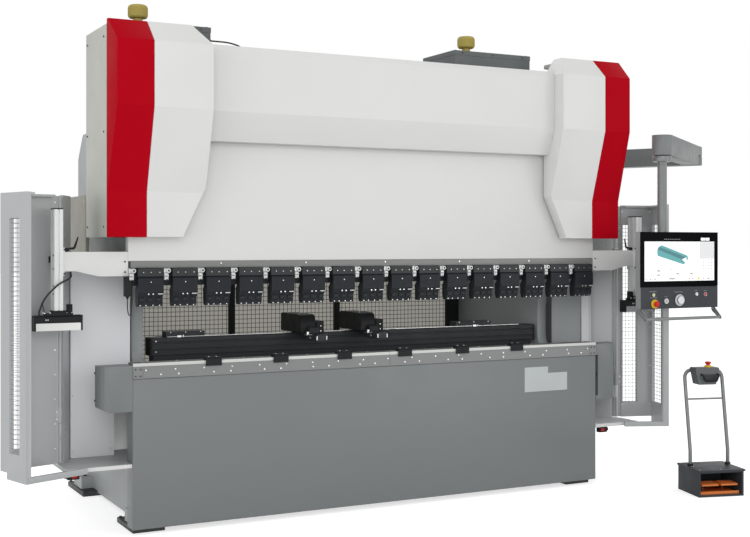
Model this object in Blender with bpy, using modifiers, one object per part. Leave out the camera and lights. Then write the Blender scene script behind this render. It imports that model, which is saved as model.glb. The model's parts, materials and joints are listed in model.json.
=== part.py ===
"""Press brake with laser arms, hinged side guards, back gauge, pendant and foot console.

Metres, +Z up. Sizes are in the bed's frame: X to the right along the bed, Y to the back and
Z up from the floor, with X = 0 at mid bed and Y = 0 on the bed plate's front face. The empty
"machine" moves that frame, so that the world origin lies under the front left foot.
"""
import math

import bmesh
import bpy
from mathutils import Matrix, Vector

# World origin: the middle of the front left foot plate, on the floor
ORIGIN = (-1.420, 0.210, 0.0)
GAP = 0.0003
SIDES = (("left", -1), ("right", 1))

# Side frames
FRAME_INNER = 1.355
FRAME_OUTER = 1.423
FRAME_FRONT = 0.1083
FRAME_BACK = 1.620
FRAME_TOP = 2.255
FRAME_SHOULDER = (1.500, 2.100)
THROAT_DEPTH = 0.400
THROAT_LOW = 0.850
THROAT_HIGH = 1.320
FOOT_THICK = 0.030
FOOT_SPANS = ((0.055, 0.365), (1.120, 1.510))
FOOT_REACH = (1.335, 1.515)
FOOT_BLOCK_TOP = 0.100

# Bed and table
BED_HALF = 1.530
BED_TOP = 0.832
TABLE_TOP = 0.897
DIE_TOP = 0.915
DIE_CLAMP_X = (-1.100, -0.710, -0.343, 0.018, 0.375, 0.775)
DIE_CLAMP_WIDTH = 0.068
COVER_REACH = 1.707
COVER_DEPTH = 0.300
COVER_TOP = 0.905
COVER_LOW = {"left": 0.660, "right": 0.540}

# Ram
RAM_HALF = 1.542
RAM_FRONT = 0.044
RAM_BACK = 0.098
RAM_LOW = 1.457
RAM_TOP = 2.450
STRIP_LOW = 1.4213
HOLDER_PITCH = 0.1918
HOLDER_COUNT = 16
HOLDER_START = -1.495
HOLDER_WIDTH = 0.155
HOLDER_LOW = 1.213
HOLDER_BAND = 1.385
HOLDER_TOP = 1.421
LEVER_START = -1.527
LEVER_WIDTH = 0.030

# Laser arms
ARM_END = 1.8897
ARM_TOP = 1.508
ARM_LOW = 1.378
ARM_TIP_LOW = 1.406
RAIL_INNER = 1.890
RAIL_WIDE = 0.045
RAIL_DEEP = 0.090
RAIL_FRONT = 0.030
RAIL_SPAN = (1.204, 1.729)
UNIT_SPAN = (1.790, 2.040)
UNIT_LOW = 1.100
UNIT_TOP = 1.180
LEAD_RADIUS = 0.005

# Housing
HOUSING_OUTER = 1.680
HOUSING_SEAM = 1.467
HOUSING_INNER = 1.141
HOUSING_TOE = 1.262
HOUSING_LOW = 1.585
HOUSING_LEAN = 1.826
HOUSING_FOLD = 2.265
HOUSING_BROW = 2.607
HOUSING_TOP = 2.727
HOUSING_NOSE = -0.180
HOUSING_CHIN = -0.045
HOUSING_SHEET = 0.020
COVER_BACK = 0.034
SIDE_BACK = 0.390
RED_BACK = -0.0303

# Side guards
SHELF = (0.360, 0.381)
HINGE = {"left": (-1.870, 0.190), "right": (1.850, 0.190)}
GUARD_WIDTH = {"left": 0.323, "right": 0.250}
GUARD_SIDE = 0.250
GUARD_TURN = math.atan2(0.284, 0.959)
GUARD_LOW = 0.354
GUARD_LIFT = 0.388
GUARD_TOP = 1.810
WINDOW_SPAN = (0.490, 1.680)
SHEET = 0.010
FENCE_TOP = 1.820
REAR_SPAN = (0.450, 1.600)
REAR_POSTS = (-1.300, -0.435, 0.353, 1.271)

# Back gauge
GAUGE_RAIL_INNER = 1.290
BEAM_HALF = 1.330
BEAM_SPAN = (0.912, 1.015)
FINGER_CENTRE = {"left": -0.350, "right": 0.0525}
FINGER_WIDTH = 0.150

# Pendant
PIVOT = Vector((2.030, 1.450))
ELBOW = Vector((2.680, 0.360))
DROP = Vector((1.840, -0.280))
LINK_HALF = 0.060
TONGUE = 0.065
LINK_LOW = 2.115
LINK_TOP = 2.245
LAP_LOW = 2.1775
LAP_TOP = 2.1825
CASE_X = (1.598, 2.236)
CASE_FRONT = -0.360
CASE_BACK = -0.3103
CASE_LOW = 1.142
CASE_SEAM = 1.279
CASE_TOP = 1.626
SCREEN_X = (1.629, 2.207)
SCREEN_Z = (1.3155, 1.566)
# Lamp, stop button, key switch, dial and two push buttons: x, z, radius, height
CONTROLS = ((1.700, 1.230, 0.012, 0.012), (1.709, 1.173, 0.028, 0.034), (1.800, 1.190, 0.018, 0.018),
            (1.911, 1.194, 0.038, 0.022), (2.053, 1.230, 0.013, 0.016), (2.127, 1.228, 0.013, 0.016))

# Foot console, in its own frame: u across, v to the back
CONSOLE_CORNER = (1.812, -0.646)
CONSOLE_TURN = -0.2703
CONSOLE_WIDE = 0.300
CONSOLE_DEEP = 0.280
CONSOLE_HIGH = 0.165
HOOP_U = (0.025, 0.280)
HOOP_V = 0.165
HOOP_LEAN = 0.082
HOOP_TOP = 0.755
HOOP_RADIUS = 0.012
PEDAL_U = (0.030, 0.158)
PEDAL_WIDE = 0.112
PEDAL_AXIS = (0.200, 0.046)


def new_collection(name):
    """Return a fresh collection linked to the scene."""
    collection = bpy.data.collections.new(name)
    bpy.context.scene.collection.children.link(collection)
    return collection


for leftover in list(bpy.data.objects):
    bpy.data.objects.remove(leftover, do_unlink=True)
PARTS = new_collection("press_brake")
BENCH = new_collection("cutters")


def new_material(name, colour, rough, metal=0.0):
    """Return a Principled material of one colour."""
    material = bpy.data.materials.new(name)
    material.use_nodes = True
    shader = material.node_tree.nodes["Principled BSDF"]
    shader.inputs["Base Color"].default_value = (*colour, 1.0)
    shader.inputs["Roughness"].default_value = rough
    shader.inputs["Metallic"].default_value = metal
    return material


WHITE = new_material("white_enamel", (0.68, 0.68, 0.67), 0.35)
BEIGE = new_material("pale_side_enamel", (0.46, 0.46, 0.40), 0.4)
RED = new_material("red_enamel", (0.41, 0.003, 0.01), 0.3)
BED_GREY = new_material("bed_grey_enamel", (0.17, 0.18, 0.19), 0.45)
GUARD_GREY = new_material("guard_grey_enamel", (0.38, 0.39, 0.39), 0.45)
CHARCOAL = new_material("charcoal_enamel", (0.05, 0.055, 0.06), 0.5)
BLACK = new_material("blackened_steel", (0.02, 0.022, 0.024), 0.45, 0.4)
STEEL = new_material("machined_steel", (0.55, 0.55, 0.54), 0.3, 1.0)
ALUMINIUM = new_material("anodised_aluminium", (0.62, 0.63, 0.64), 0.35, 1.0)
WIRE = new_material("galvanised_wire", (0.35, 0.36, 0.37), 0.4, 0.8)
ORANGE = new_material("pedal_orange", (0.62, 0.17, 0.03), 0.45)


def new_empty(name, place, parent=None):
    """Return an empty at a place in the bed's frame, for pieces to hang from."""
    empty = bpy.data.objects.new(name, None)
    PARTS.objects.link(empty)
    empty.parent = parent
    empty.location = Vector(place) - (Vector(parent["place"]) if parent else Vector())
    empty["place"] = tuple(place)
    return empty


MACHINE = new_empty("machine", (0, 0, 0))


def workpiece(bm):
    """Turn a bmesh into an object on the bench."""
    mesh = bpy.data.meshes.new("work")
    bm.to_mesh(mesh)
    bm.free()
    obj = bpy.data.objects.new("work", mesh)
    BENCH.objects.link(obj)
    return obj


def baked(obj):
    """Return an object's mesh with its modifiers applied, in the bed's frame."""
    bpy.context.view_layer.update()
    depsgraph = bpy.context.evaluated_depsgraph_get()
    mesh = bpy.data.meshes.new_from_object(obj.evaluated_get(depsgraph))
    mesh.transform(obj.matrix_world)
    return mesh


def box(low, high, edge=0.0):
    """Return a box between two corners given in any order, its edges rounded if asked."""
    low, high = Vector(map(min, low, high)), Vector(map(max, low, high))
    bm = bmesh.new()
    bmesh.ops.create_cube(bm, size=1.0)
    bmesh.ops.scale(bm, vec=high - low, verts=bm.verts)
    bmesh.ops.translate(bm, vec=(low + high) / 2, verts=bm.verts)
    obj = workpiece(bm)
    if edge:
        modifier = obj.modifiers.new("edge", "BEVEL")
        modifier.width = edge
        modifier.segments = 2
    return obj


def rod(centre, radius, length, axis="Z", sides=20):
    """Return a capped cylinder centred at a point, along one axis."""
    bm = bmesh.new()
    bmesh.ops.create_cone(bm, cap_ends=True, segments=sides, radius1=radius, radius2=radius, depth=length)
    quarter = math.pi / 2
    turn = {"X": Matrix.Rotation(quarter, 4, "Y"), "Y": Matrix.Rotation(quarter, 4, "X"), "Z": Matrix()}
    bmesh.ops.transform(bm, matrix=Matrix.Translation(centre) @ turn[axis], verts=bm.verts)
    return workpiece(bm)


def turned(profile, place, steps=24):
    """Return a turned piece from a profile of (radius, height), listed from top to bottom."""
    bm = bmesh.new()
    verts = [bm.verts.new((radius, 0.0, height)) for radius, height in profile]
    for upper, lower in zip(verts, verts[1:]):
        bm.edges.new((upper, lower))
    obj = workpiece(bm)
    obj.location = place
    screw = obj.modifiers.new("turn", "SCREW")
    screw.steps = steps
    screw.render_steps = steps
    screw.use_merge_vertices = True
    screw.merge_threshold = 0.0001
    return obj


def from_curve(curve, placing):
    """Return a closed mesh object made from a curve set at a placing."""
    guide = bpy.data.objects.new("guide", curve)
    BENCH.objects.link(guide)
    guide.matrix_world = placing
    mesh = baked(guide)
    bpy.data.objects.remove(guide, do_unlink=True)
    bm = bmesh.new()
    bm.from_mesh(mesh)
    bmesh.ops.remove_doubles(bm, verts=bm.verts, dist=0.00005)
    bmesh.ops.recalc_face_normals(bm, faces=bm.faces)
    return workpiece(bm)


def plate(outline, plane, low, high):
    """Return a flat outline drawn in a plane and extruded between two depths across it."""
    low, high = min(low, high), max(low, high)
    curve = bpy.data.curves.new("outline", "CURVE")
    curve.dimensions = "2D"
    curve.fill_mode = "BOTH"
    curve.extrude = (high - low) / 2
    spline = curve.splines.new("POLY")
    spline.points.add(len(outline) - 1)
    for point, (u, v) in zip(spline.points, outline):
        point.co = (u, v, 0.0, 1.0)
    spline.use_cyclic_u = True
    middle = (low + high) / 2
    offset = {"XY": (0, 0, middle), "XZ": (0, middle, 0), "YZ": (middle, 0, 0)}[plane]
    turn = {"XY": Matrix(), "XZ": Matrix.Rotation(math.pi / 2, 4, "X"),
            "YZ": Matrix(((0, 0, 1), (1, 0, 0), (0, 1, 0))).to_4x4()}[plane]
    return from_curve(curve, Matrix.Translation(offset) @ turn)


def tube(points, radius, resolution=2):
    """Return a round tube with closed ends that follows a list of points."""
    curve = bpy.data.curves.new("route", "CURVE")
    curve.dimensions = "3D"
    curve.bevel_depth = radius
    curve.bevel_resolution = resolution
    curve.use_fill_caps = True
    spline = curve.splines.new("POLY")
    spline.points.add(len(points) - 1)
    for point, place in zip(spline.points, points):
        point.co = (*place, 1.0)
    return from_curve(curve, Matrix())


def arc(before, corner, after, radius, steps):
    """Return the points of an arc that rounds one corner between two straight runs."""
    back = (before - corner).normalized()
    ahead = (after - corner).normalized()
    half = back.angle(ahead) / 2
    centre = corner + (back + ahead).normalized() * radius / math.sin(half)
    start = corner + back * radius / math.tan(half) - centre
    end = corner + ahead * radius / math.tan(half) - centre
    sweep = start.angle(end)
    points = []
    for step in range(steps + 1):
        part = step / steps
        mix = (start * math.sin((1 - part) * sweep) + end * math.sin(part * sweep)) / math.sin(sweep)
        points.append(centre + mix)
    return points


def rounded(corners, steps=5):
    """Return a closed outline whose corners, (u, v, radius), are turned into arcs."""
    places = [Vector(corner[:2]) for corner in corners]
    points = []
    for index, (here, corner) in enumerate(zip(places, corners)):
        if corner[2]:
            after = places[(index + 1) % len(places)]
            points += arc(places[index - 1], here, after, corner[2], steps)
        else:
            points.append(here)
    return points


def bent(places, radius, steps=4):
    """Return an open route through places, its inner corners turned into arcs."""
    places = [Vector(place) for place in places]
    route = [places[0]]
    for before, here, after in zip(places, places[1:], places[2:]):
        route += arc(before, here, after, radius, steps)
    return route + [places[-1]]


def smooth_route(places, count):
    """Return evenly stepped points on a smooth curve through the given places."""
    places = [Vector(place) for place in places]
    places = [2 * places[0] - places[1], *places, 2 * places[-1] - places[-2]]
    spans = len(places) - 3
    route = []
    for step in range(count + 1):
        travel = spans * step / count
        span = min(int(travel), spans - 1)
        t = travel - span
        a, b, c, d = places[span:span + 4]
        ease = (2 * a - 5 * b + 4 * c - d) * t ** 2 + (3 * b - a - 3 * c + d) * t ** 3
        route.append((2 * b + (c - a) * t + ease) / 2)
    return route


def combine(base, tool, operation):
    """Return the Boolean of two solids; both are used up."""
    modifier = base.modifiers.new("combine", "BOOLEAN")
    modifier.operation = operation
    modifier.solver = "EXACT"
    modifier.object = tool
    mesh = baked(base)
    bm = bmesh.new()
    bm.from_mesh(mesh)
    for spent in (base, tool):
        bpy.data.objects.remove(spent, do_unlink=True)
    return workpiece(bm)


def cut(base, *tools):
    """Remove the tools' shapes from a solid."""
    for tool in tools:
        base = combine(base, tool, "DIFFERENCE")
    return base


def fuse(base, *tools):
    """Join the tools' shapes to a solid."""
    for tool in tools:
        base = combine(base, tool, "UNION")
    return base


def row(piece, count, pitch):
    """Repeat a solid along X."""
    modifier = piece.modifiers.new("row", "ARRAY")
    modifier.count = count
    modifier.use_relative_offset = False
    modifier.use_constant_offset = True
    modifier.constant_offset_displace = (pitch, 0, 0)
    return piece


def node(name, piece, material, parent):
    """Make the named object of a finished solid, hung from the empty that carries it."""
    mesh = baked(piece)
    bpy.data.objects.remove(piece, do_unlink=True)
    mesh.name = name
    mesh.materials.clear()
    mesh.materials.append(material)
    mesh.shade_smooth()
    mesh.set_sharp_from_angle(angle=math.radians(35))
    obj = bpy.data.objects.new(name, mesh)
    PARTS.objects.link(obj)
    obj.parent = parent
    obj.location = -Vector(parent["place"])
    return obj


def side_frames():
    """Model the two C-shaped side frames with their foot plates and back gauge rails."""
    outline = rounded((
        (FRAME_FRONT, FOOT_THICK / 2, 0), (FRAME_BACK, FOOT_THICK / 2, 0),
        (FRAME_BACK, FRAME_SHOULDER[1], 0.05), (FRAME_SHOULDER[0], FRAME_TOP, 0.05),
        (FRAME_FRONT, FRAME_TOP, 0), (FRAME_FRONT, THROAT_HIGH, 0.03),
        (THROAT_DEPTH, THROAT_HIGH - 0.02, 0.19), (THROAT_DEPTH, THROAT_LOW, 0.10),
        (FRAME_FRONT, THROAT_LOW, 0),
    ))
    for side, sign in SIDES:
        frame = plate(outline, "YZ", sign * FRAME_INNER, sign * FRAME_OUTER)
        rail = box((sign * GAUGE_RAIL_INNER, 0.420, 0.740), (sign * (FRAME_INNER + 0.01), 1.380, 0.800))
        frame = fuse(frame, rail)
        for near, far in FOOT_SPANS:
            pad = box((sign * FOOT_REACH[0], near, 0), (sign * FOOT_REACH[1], far, FOOT_THICK))
            block = box((sign * (FRAME_OUTER - 0.01), near + 0.10, FOOT_THICK / 2),
                        (sign * 1.500, far - 0.10, FOOT_BLOCK_TOP))
            frame = fuse(frame, pad, block)
        node(side + "_side_frame", frame, BED_GREY, MACHINE)


def bed():
    """Model the bed plate, the table rail, and the die strip with its clamps."""
    low = FOOT_THICK + GAP
    plate_block = box((-BED_HALF, 0, low), (BED_HALF, FRAME_FRONT - GAP, BED_TOP), 0.004)
    node("bed_plate", plate_block, BED_GREY, MACHINE)
    node("table_rail", box((-BED_HALF, -0.003, BED_TOP + GAP), (BED_HALF, 0.100, TABLE_TOP), 0.002),
         GUARD_GREY, MACHINE)
    slot, low = (0.039, 0.051), TABLE_TOP + GAP
    outline = [(0, low), (0.090, low), (0.090, DIE_TOP), (slot[1], DIE_TOP), (slot[1], DIE_TOP - 0.010),
               (slot[0], DIE_TOP - 0.010), (slot[0], DIE_TOP), (0, DIE_TOP)]
    strip = plate(outline, "YZ", -BED_HALF, BED_HALF)
    lip = -0.0033
    clamp = [(-0.012, 0.885), (lip, 0.885), (lip, DIE_TOP - 0.008), (0.034, DIE_TOP - 0.008), (0.034, 0.926),
             (0.028, 0.932), (-0.012, 0.932)]
    half = DIE_CLAMP_WIDTH / 2
    strip = fuse(strip, *(plate(clamp, "YZ", x - half, x + half) for x in DIE_CLAMP_X))
    node("die_strip", strip, STEEL, MACHINE)


def bed_covers():
    """Model the sheet covers on the bed's ends, rounded in front and cut back below."""
    for side, sign in SIDES:
        inner, low = BED_HALF + GAP, COVER_LOW[side]
        corners = ((sign * inner, 0, 0), (sign * COVER_REACH, 0, 0.07),
                   (sign * COVER_REACH, COVER_DEPTH, 0.01), (sign * inner, COVER_DEPTH, 0))
        cover = plate(rounded(corners), "XY", low, COVER_TOP)
        toe = [(sign * (COVER_REACH + 0.05), low - 0.05), (sign * (COVER_REACH - 0.06), low - 0.05),
               (sign * (COVER_REACH - 0.06), low - 0.001), (sign * (COVER_REACH + 0.05), low + 0.045)]
        cover = cut(cover, plate(toe, "XZ", -0.1, 0.4))
        if side == "right":
            cover = cut(cover, box((inner - 0.02, -0.1, 0.570), (1.550, 0.4, BED_TOP)))
        node(side + "_bed_cover", cover, BED_GREY, MACHINE)


def cross_members():
    """Model what joins the side frames: a low tie, the oil tank and the top beam."""
    reach = FRAME_INNER - GAP
    node("lower_tie", box((-reach, 1.250, 0.200), (reach, 1.350, 0.400), 0.006), BED_GREY, MACHINE)
    node("oil_tank", box((-reach, 0.600, 1.750), (reach, 1.100, 2.200), 0.010), BED_GREY, MACHINE)
    beam = box((-FRAME_OUTER, 0.120, FRAME_TOP + GAP), (FRAME_OUTER, 0.500, 2.600))
    hollow = box((-FRAME_OUTER + 0.06, 0.150, FRAME_TOP + 0.03), (FRAME_OUTER - 0.06, 0.600, 2.570))
    node("top_beam", cut(beam, hollow), BED_GREY, MACHINE)


def housing():
    """Model the faceted red and white covers, the side covers and the centre cover."""
    front = [(HOUSING_CHIN, HOUSING_LOW), (HOUSING_CHIN, HOUSING_LEAN), (HOUSING_NOSE, HOUSING_FOLD),
             (HOUSING_NOSE, HOUSING_BROW), (-0.050, HOUSING_TOP)]
    for side, sign in SIDES:
        profile = [*front, (RED_BACK, HOUSING_TOP), (RED_BACK, HOUSING_LOW)]
        piece = plate(profile, "YZ", sign * (HOUSING_SEAM + GAP), sign * HOUSING_OUTER)
        for vertex in piece.data.vertices:
            if abs(vertex.co.x) > HOUSING_SEAM + 0.01:
                vertex.co.x += sign * 0.017 * (vertex.co.y - RED_BACK) / (RED_BACK - HOUSING_NOSE)
        node(side + "_red_cover", piece, RED, MACHINE)
        profile = [*front, (COVER_BACK, HOUSING_TOP), (COVER_BACK, HOUSING_LOW)]
        piece = plate(profile, "YZ", sign * (HOUSING_INNER - 0.05), sign * HOUSING_SEAM)
        face = rounded((
            (sign * (HOUSING_SEAM + 0.1), HOUSING_LOW - 0.1, 0), (sign * HOUSING_TOE, HOUSING_LOW - 0.1, 0),
            (sign * HOUSING_TOE, HOUSING_LOW + 0.012, 0.02), (sign * HOUSING_INNER, 1.850, 0.05),
            (sign * HOUSING_INNER, HOUSING_BROW, 0), (sign * 1.220, HOUSING_TOP + 0.001, 0),
            (sign * (HOUSING_SEAM + 0.1), HOUSING_TOP + 0.001, 0)))
        trimmed = combine(piece, plate(face, "XZ", -0.3, 0.1), "INTERSECT")
        node(side + "_white_cover", trimmed, WHITE, MACHINE)
        inner = HOUSING_OUTER - HOUSING_SHEET
        cheek = box((sign * inner, RED_BACK + GAP, HOUSING_LOW),
                    (sign * HOUSING_OUTER, SIDE_BACK, HOUSING_TOP - 0.027))
        back = box((sign * (FRAME_OUTER + GAP), SIDE_BACK - HOUSING_SHEET, HOUSING_LOW),
                   (sign * (inner + 0.01), SIDE_BACK, 2.590))
        lid = plate([(sign * x, y) for x, y in (
            (HOUSING_SEAM + GAP, RED_BACK + GAP), (inner + 0.01, RED_BACK + GAP), (inner + 0.01, 0.110),
            (1.200, 0.110), (1.200, COVER_BACK + GAP), (HOUSING_SEAM + GAP, COVER_BACK + GAP))],
            "XY", HOUSING_TOP - 0.055, HOUSING_TOP - 0.029)
        node(side + "_side_cover", fuse(cheek, back, lid), BEIGE, MACHINE)
    reach = HOUSING_INNER - GAP
    cover = [(COVER_BACK, 2.110), (-0.030, 2.110), (-0.085, 2.270), (-0.085, 2.600), (-0.070, 2.630),
             (0.1197, 2.630), (0.1197, 2.605), (COVER_BACK, 2.605)]
    node("centre_cover", plate(cover, "YZ", -reach, reach), WHITE, MACHINE)


def top_boxes():
    """Model the two valve boxes, each with its breather cap."""
    cap = ((0, 0.105), (0.046, 0.105), (0.055, 0.094), (0.055, 0.040), (0.047, 0.032), (0.026, 0.030),
           (0.026, -0.01), (0, -0.01))
    for side, low, high, cap_x in (("left", (-1.600, 0.120), (-1.050, 0.360, 2.755), -1.438),
                                   ("right", (0.533, 0.120), (1.100, 0.510, 2.750), 0.680)):
        case = box((*low, 2.600 + GAP), high, 0.006)
        case = fuse(case, turned(cap, (cap_x, 0.220, high[2])))
        node(side + "_valve_box", case, CHARCOAL, MACHINE)


def ram():
    """Model the ram plate, its foot strip, and the punch holders with a lever beside each."""
    axis = new_empty("ram_slide_axis", (0, RAM_FRONT, RAM_LOW), MACHINE)
    node("ram_plate", box((-RAM_HALF, RAM_FRONT, RAM_LOW), (RAM_HALF, RAM_BACK, RAM_TOP), 0.003), WHITE, axis)
    foot_strip = box((-BED_HALF, 0.040, STRIP_LOW), (BED_HALF, RAM_BACK, RAM_LOW - GAP))
    node("ram_strip", foot_strip, GUARD_GREY, axis)
    profile = [(0.060, HOLDER_TOP), (0.026, HOLDER_TOP), (0.026, HOLDER_BAND), (0.018, HOLDER_BAND - 0.012),
               (0.018, 1.290), (0.034, 1.262), (0.034, 1.235), (0.044, HOLDER_LOW), (0.078, HOLDER_LOW),
               (0.088, 1.240), (0.088, 1.300), (0.060, 1.330)]
    teeth = row(plate(profile, "YZ", HOLDER_START, HOLDER_START + HOLDER_WIDTH), HOLDER_COUNT, HOLDER_PITCH)
    end = HOLDER_START + HOLDER_PITCH * (HOLDER_COUNT - 1) + HOLDER_WIDTH
    spine = box((LEVER_START + 0.005, 0.0575, 1.325), (end - 0.01, 0.096, HOLDER_TOP - 0.002))
    lever = [(0.010, 1.345), (0.022, 1.332), (0.062, 1.332), (0.062, 1.416), (0.022, 1.416), (0.010, 1.405)]
    levers = row(plate(lever, "YZ", LEVER_START, LEVER_START + LEVER_WIDTH), HOLDER_COUNT, HOLDER_PITCH)
    node("punch_holders", fuse(spine, teeth, levers), BLACK, axis)
    return axis


def laser_arms(axis):
    """Model the arms on the ram's ends, their slotted rails and the laser units."""
    for side, sign in SIDES:
        outline = [(sign * u, v) for u, v in (
            (RAM_HALF + GAP, ARM_LOW), (1.700, ARM_LOW), (1.820, ARM_TIP_LOW), (ARM_END, ARM_TIP_LOW),
            (ARM_END, ARM_TOP), (RAM_HALF + GAP, ARM_TOP))]
        flange = box((sign * (ARM_END - 0.010), 0.034, 1.385), (sign * ARM_END, 0.116, 1.530))
        node(side + "_ram_arm", fuse(plate(outline, "XZ", 0.046, RAM_BACK), flange), WHITE, axis)
        node(side + "_laser_rail", plate(slotted_profile(sign), "XY", *RAIL_SPAN), ALUMINIUM, axis)
        unit = [(sign * u, v) for u, v in (
            (UNIT_SPAN[0], UNIT_LOW), (UNIT_SPAN[1], UNIT_LOW), (UNIT_SPAN[1], UNIT_TOP),
            (1.980, UNIT_TOP), (1.980, RAIL_SPAN[0] - GAP), (1.840, RAIL_SPAN[0] - GAP),
            (1.840, UNIT_TOP), (UNIT_SPAN[0], UNIT_TOP))]
        node(side + "_laser_unit", plate(unit, "XZ", 0.020, 0.080), BLACK, axis)
    route = smooth_route(((-2.010, 0.040, UNIT_TOP + 2 * GAP), (-2.010, 0.040, 1.192), (-2.009, 0.039, 1.206),
                          (-1.985, 0.018, 1.270), (-1.925, 0.010, 1.335), (-1.865, 0.026, 1.366),
                          (-1.843, 0.058, 1.380), (-1.842, 0.068, 1.392), (-1.842, 0.068, 1.4054)), 40)
    node("laser_lead", tube(route, LEAD_RADIUS), BLACK, axis)


def slotted_profile(sign):
    """Return the outline of a slotted aluminium rail: two slots on its long faces, one on the short."""
    slot, depth = 0.004, 0.006
    half_x, half_y = RAIL_WIDE / 2, RAIL_DEEP / 2
    centre = Vector((sign * (RAIL_INNER + half_x), RAIL_FRONT + half_y))
    faces = (((0, -1), half_y, half_x, (0.0,)), ((1, 0), half_x, half_y, (-half_y / 2, half_y / 2)),
             ((0, 1), half_y, half_x, (0.0,)), ((-1, 0), half_x, half_y, (-half_y / 2, half_y / 2)))
    outline = []
    for normal, reach, half, slots in faces:
        out = Vector(normal)
        along = Vector((-out.y, out.x))
        outline.append(centre + out * reach - along * half)
        for middle in slots:
            for shift, sink in ((-slot, 0), (-slot, depth), (slot, depth), (slot, 0)):
                outline.append(centre + out * (reach - sink) + along * (middle + shift))
    return outline


def guards():
    """Model the fixed parts of the side guards: shelves with hinge posts, end panel and fences."""
    base = SHELF[1] + GAP
    for side, sign in SIDES:
        corners = ((BED_HALF + GAP, 0.010), (1.880, 0.010), (1.880, 0.500), (FRAME_OUTER + GAP, 0.500),
                   (FRAME_OUTER + GAP, 0.112), (BED_HALF + GAP, 0.112))
        shelf = plate([(sign * u, v) for u, v in corners], "XY", *SHELF)
        shelf = fuse(shelf, hinge_post(side, sign))
        if side == "right":
            shelf = fuse(shelf, box((1.670, 0.330, SHELF[0] + 0.01), (1.750, 0.360, 1.505)))
        node(side + "_shelf", shelf, GUARD_GREY, MACHINE)
        fence = box((sign * 1.660, 0.400, base), (sign * 1.680, 1.600, FENCE_TOP))
        for low in (0.600, 1.600):
            brace = box((sign * (FRAME_OUTER + GAP), 1.540, low), (sign * 1.670, 1.580, low + 0.060))
            fence = fuse(fence, brace)
        node(side + "_side_fence", fence, GUARD_GREY, MACHINE)
    outline = [(-1.780, base), (-1.540, base), (-1.540, 0.780), (-1.450, 0.780), (-1.450, 1.505),
               (-1.780, 1.505)]
    node("left_end_panel", plate(outline, "XZ", 0.330, 0.345), WHITE, MACHINE)


def hinge_post(side, sign):
    """Return the angled sheet that carries a guard's hinges, with its lower knuckles."""
    hinge = Vector(HINGE[side])
    along = Vector((-sign * 0.090, 0.180)).normalized()
    across = Vector((-along.y, along.x)) * SHEET
    near, far = hinge + along * 0.050, hinge + along * 0.2012
    outline = [near - across, far - across, far + across, near + across]
    post = plate(outline, "XY", SHELF[0] + 0.01, GUARD_TOP)
    return with_knuckles(post, hinge, along, (0.520, 1.520))


def with_knuckles(sheet, hinge, along, lows):
    """Fuse hinge knuckles and their leaves, one at each height, to a sheet's edge."""
    across = Vector((-along.y, along.x)) * 0.003
    leaf = [hinge - across, hinge + along * 0.060 - across, hinge + along * 0.060 + across, hinge + across]
    for low in lows:
        high = low + 0.078
        knuckle = rod((*hinge, (low + high) / 2), 0.011, high - low, sides=12)
        sheet = fuse(sheet, fuse(knuckle, plate(leaf, "XY", low, high)))
    return sheet


def rear_fence():
    """Model the fence between the side frames at the back, and its mesh."""
    reach = FRAME_INNER - GAP
    low, high = REAR_SPAN
    frame = box((-reach, 1.405, low), (reach, 1.435, high))
    for left, right in zip(REAR_POSTS, REAR_POSTS[1:]):
        frame = cut(frame, box((left + 0.020, 1.300, low + 0.040), (right - 0.020, 1.500, high - 0.040)))
    node("rear_fence", frame, GUARD_GREY, MACHINE)
    start, end = Vector((-1.300, 1.4375)), Vector((1.300, 1.4375))
    mesh = lattice(start, end, low + 0.020, high - 0.020, 13, 6, 0.006, 0.004)
    node("rear_mesh", mesh, WIRE, MACHINE)


def lattice(start, end, low, high, columns, rows, bar, thick):
    """Return an upright lattice of fused flat bars between two plan points and two heights."""
    along = (end - start).normalized()
    across_lines = bar_lines((end - start).length, columns, bar)
    upward_lines = bar_lines(high - low, rows, bar)
    bm = bmesh.new()
    bmesh.ops.create_grid(bm, x_segments=2 * columns + 1, y_segments=2 * rows + 1, size=0.5)
    holes = []
    for face in bm.faces:
        centre = face.calc_center_median()
        column = int((centre.x + 0.5) * (2 * columns + 1))
        level = int((centre.y + 0.5) * (2 * rows + 1))
        if column % 2 and level % 2:
            holes.append(face)
    for vert in bm.verts:
        column = round((vert.co.x + 0.5) * (2 * columns + 1))
        level = round((vert.co.y + 0.5) * (2 * rows + 1))
        place = start + along * across_lines[column]
        vert.co = (place.x, place.y, low + upward_lines[level])
    bmesh.ops.delete(bm, geom=holes, context="FACES")
    sheet = workpiece(bm)
    wall = sheet.modifiers.new("wall", "SOLIDIFY")
    wall.thickness = thick
    wall.offset = 0.0
    return sheet


def bar_lines(length, holes, bar):
    """Return where the bars of a lattice start and end along one side."""
    pitch = (length - bar) / holes
    return [index * pitch + shift for index in range(holes + 1) for shift in (0.0, bar)]


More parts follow.
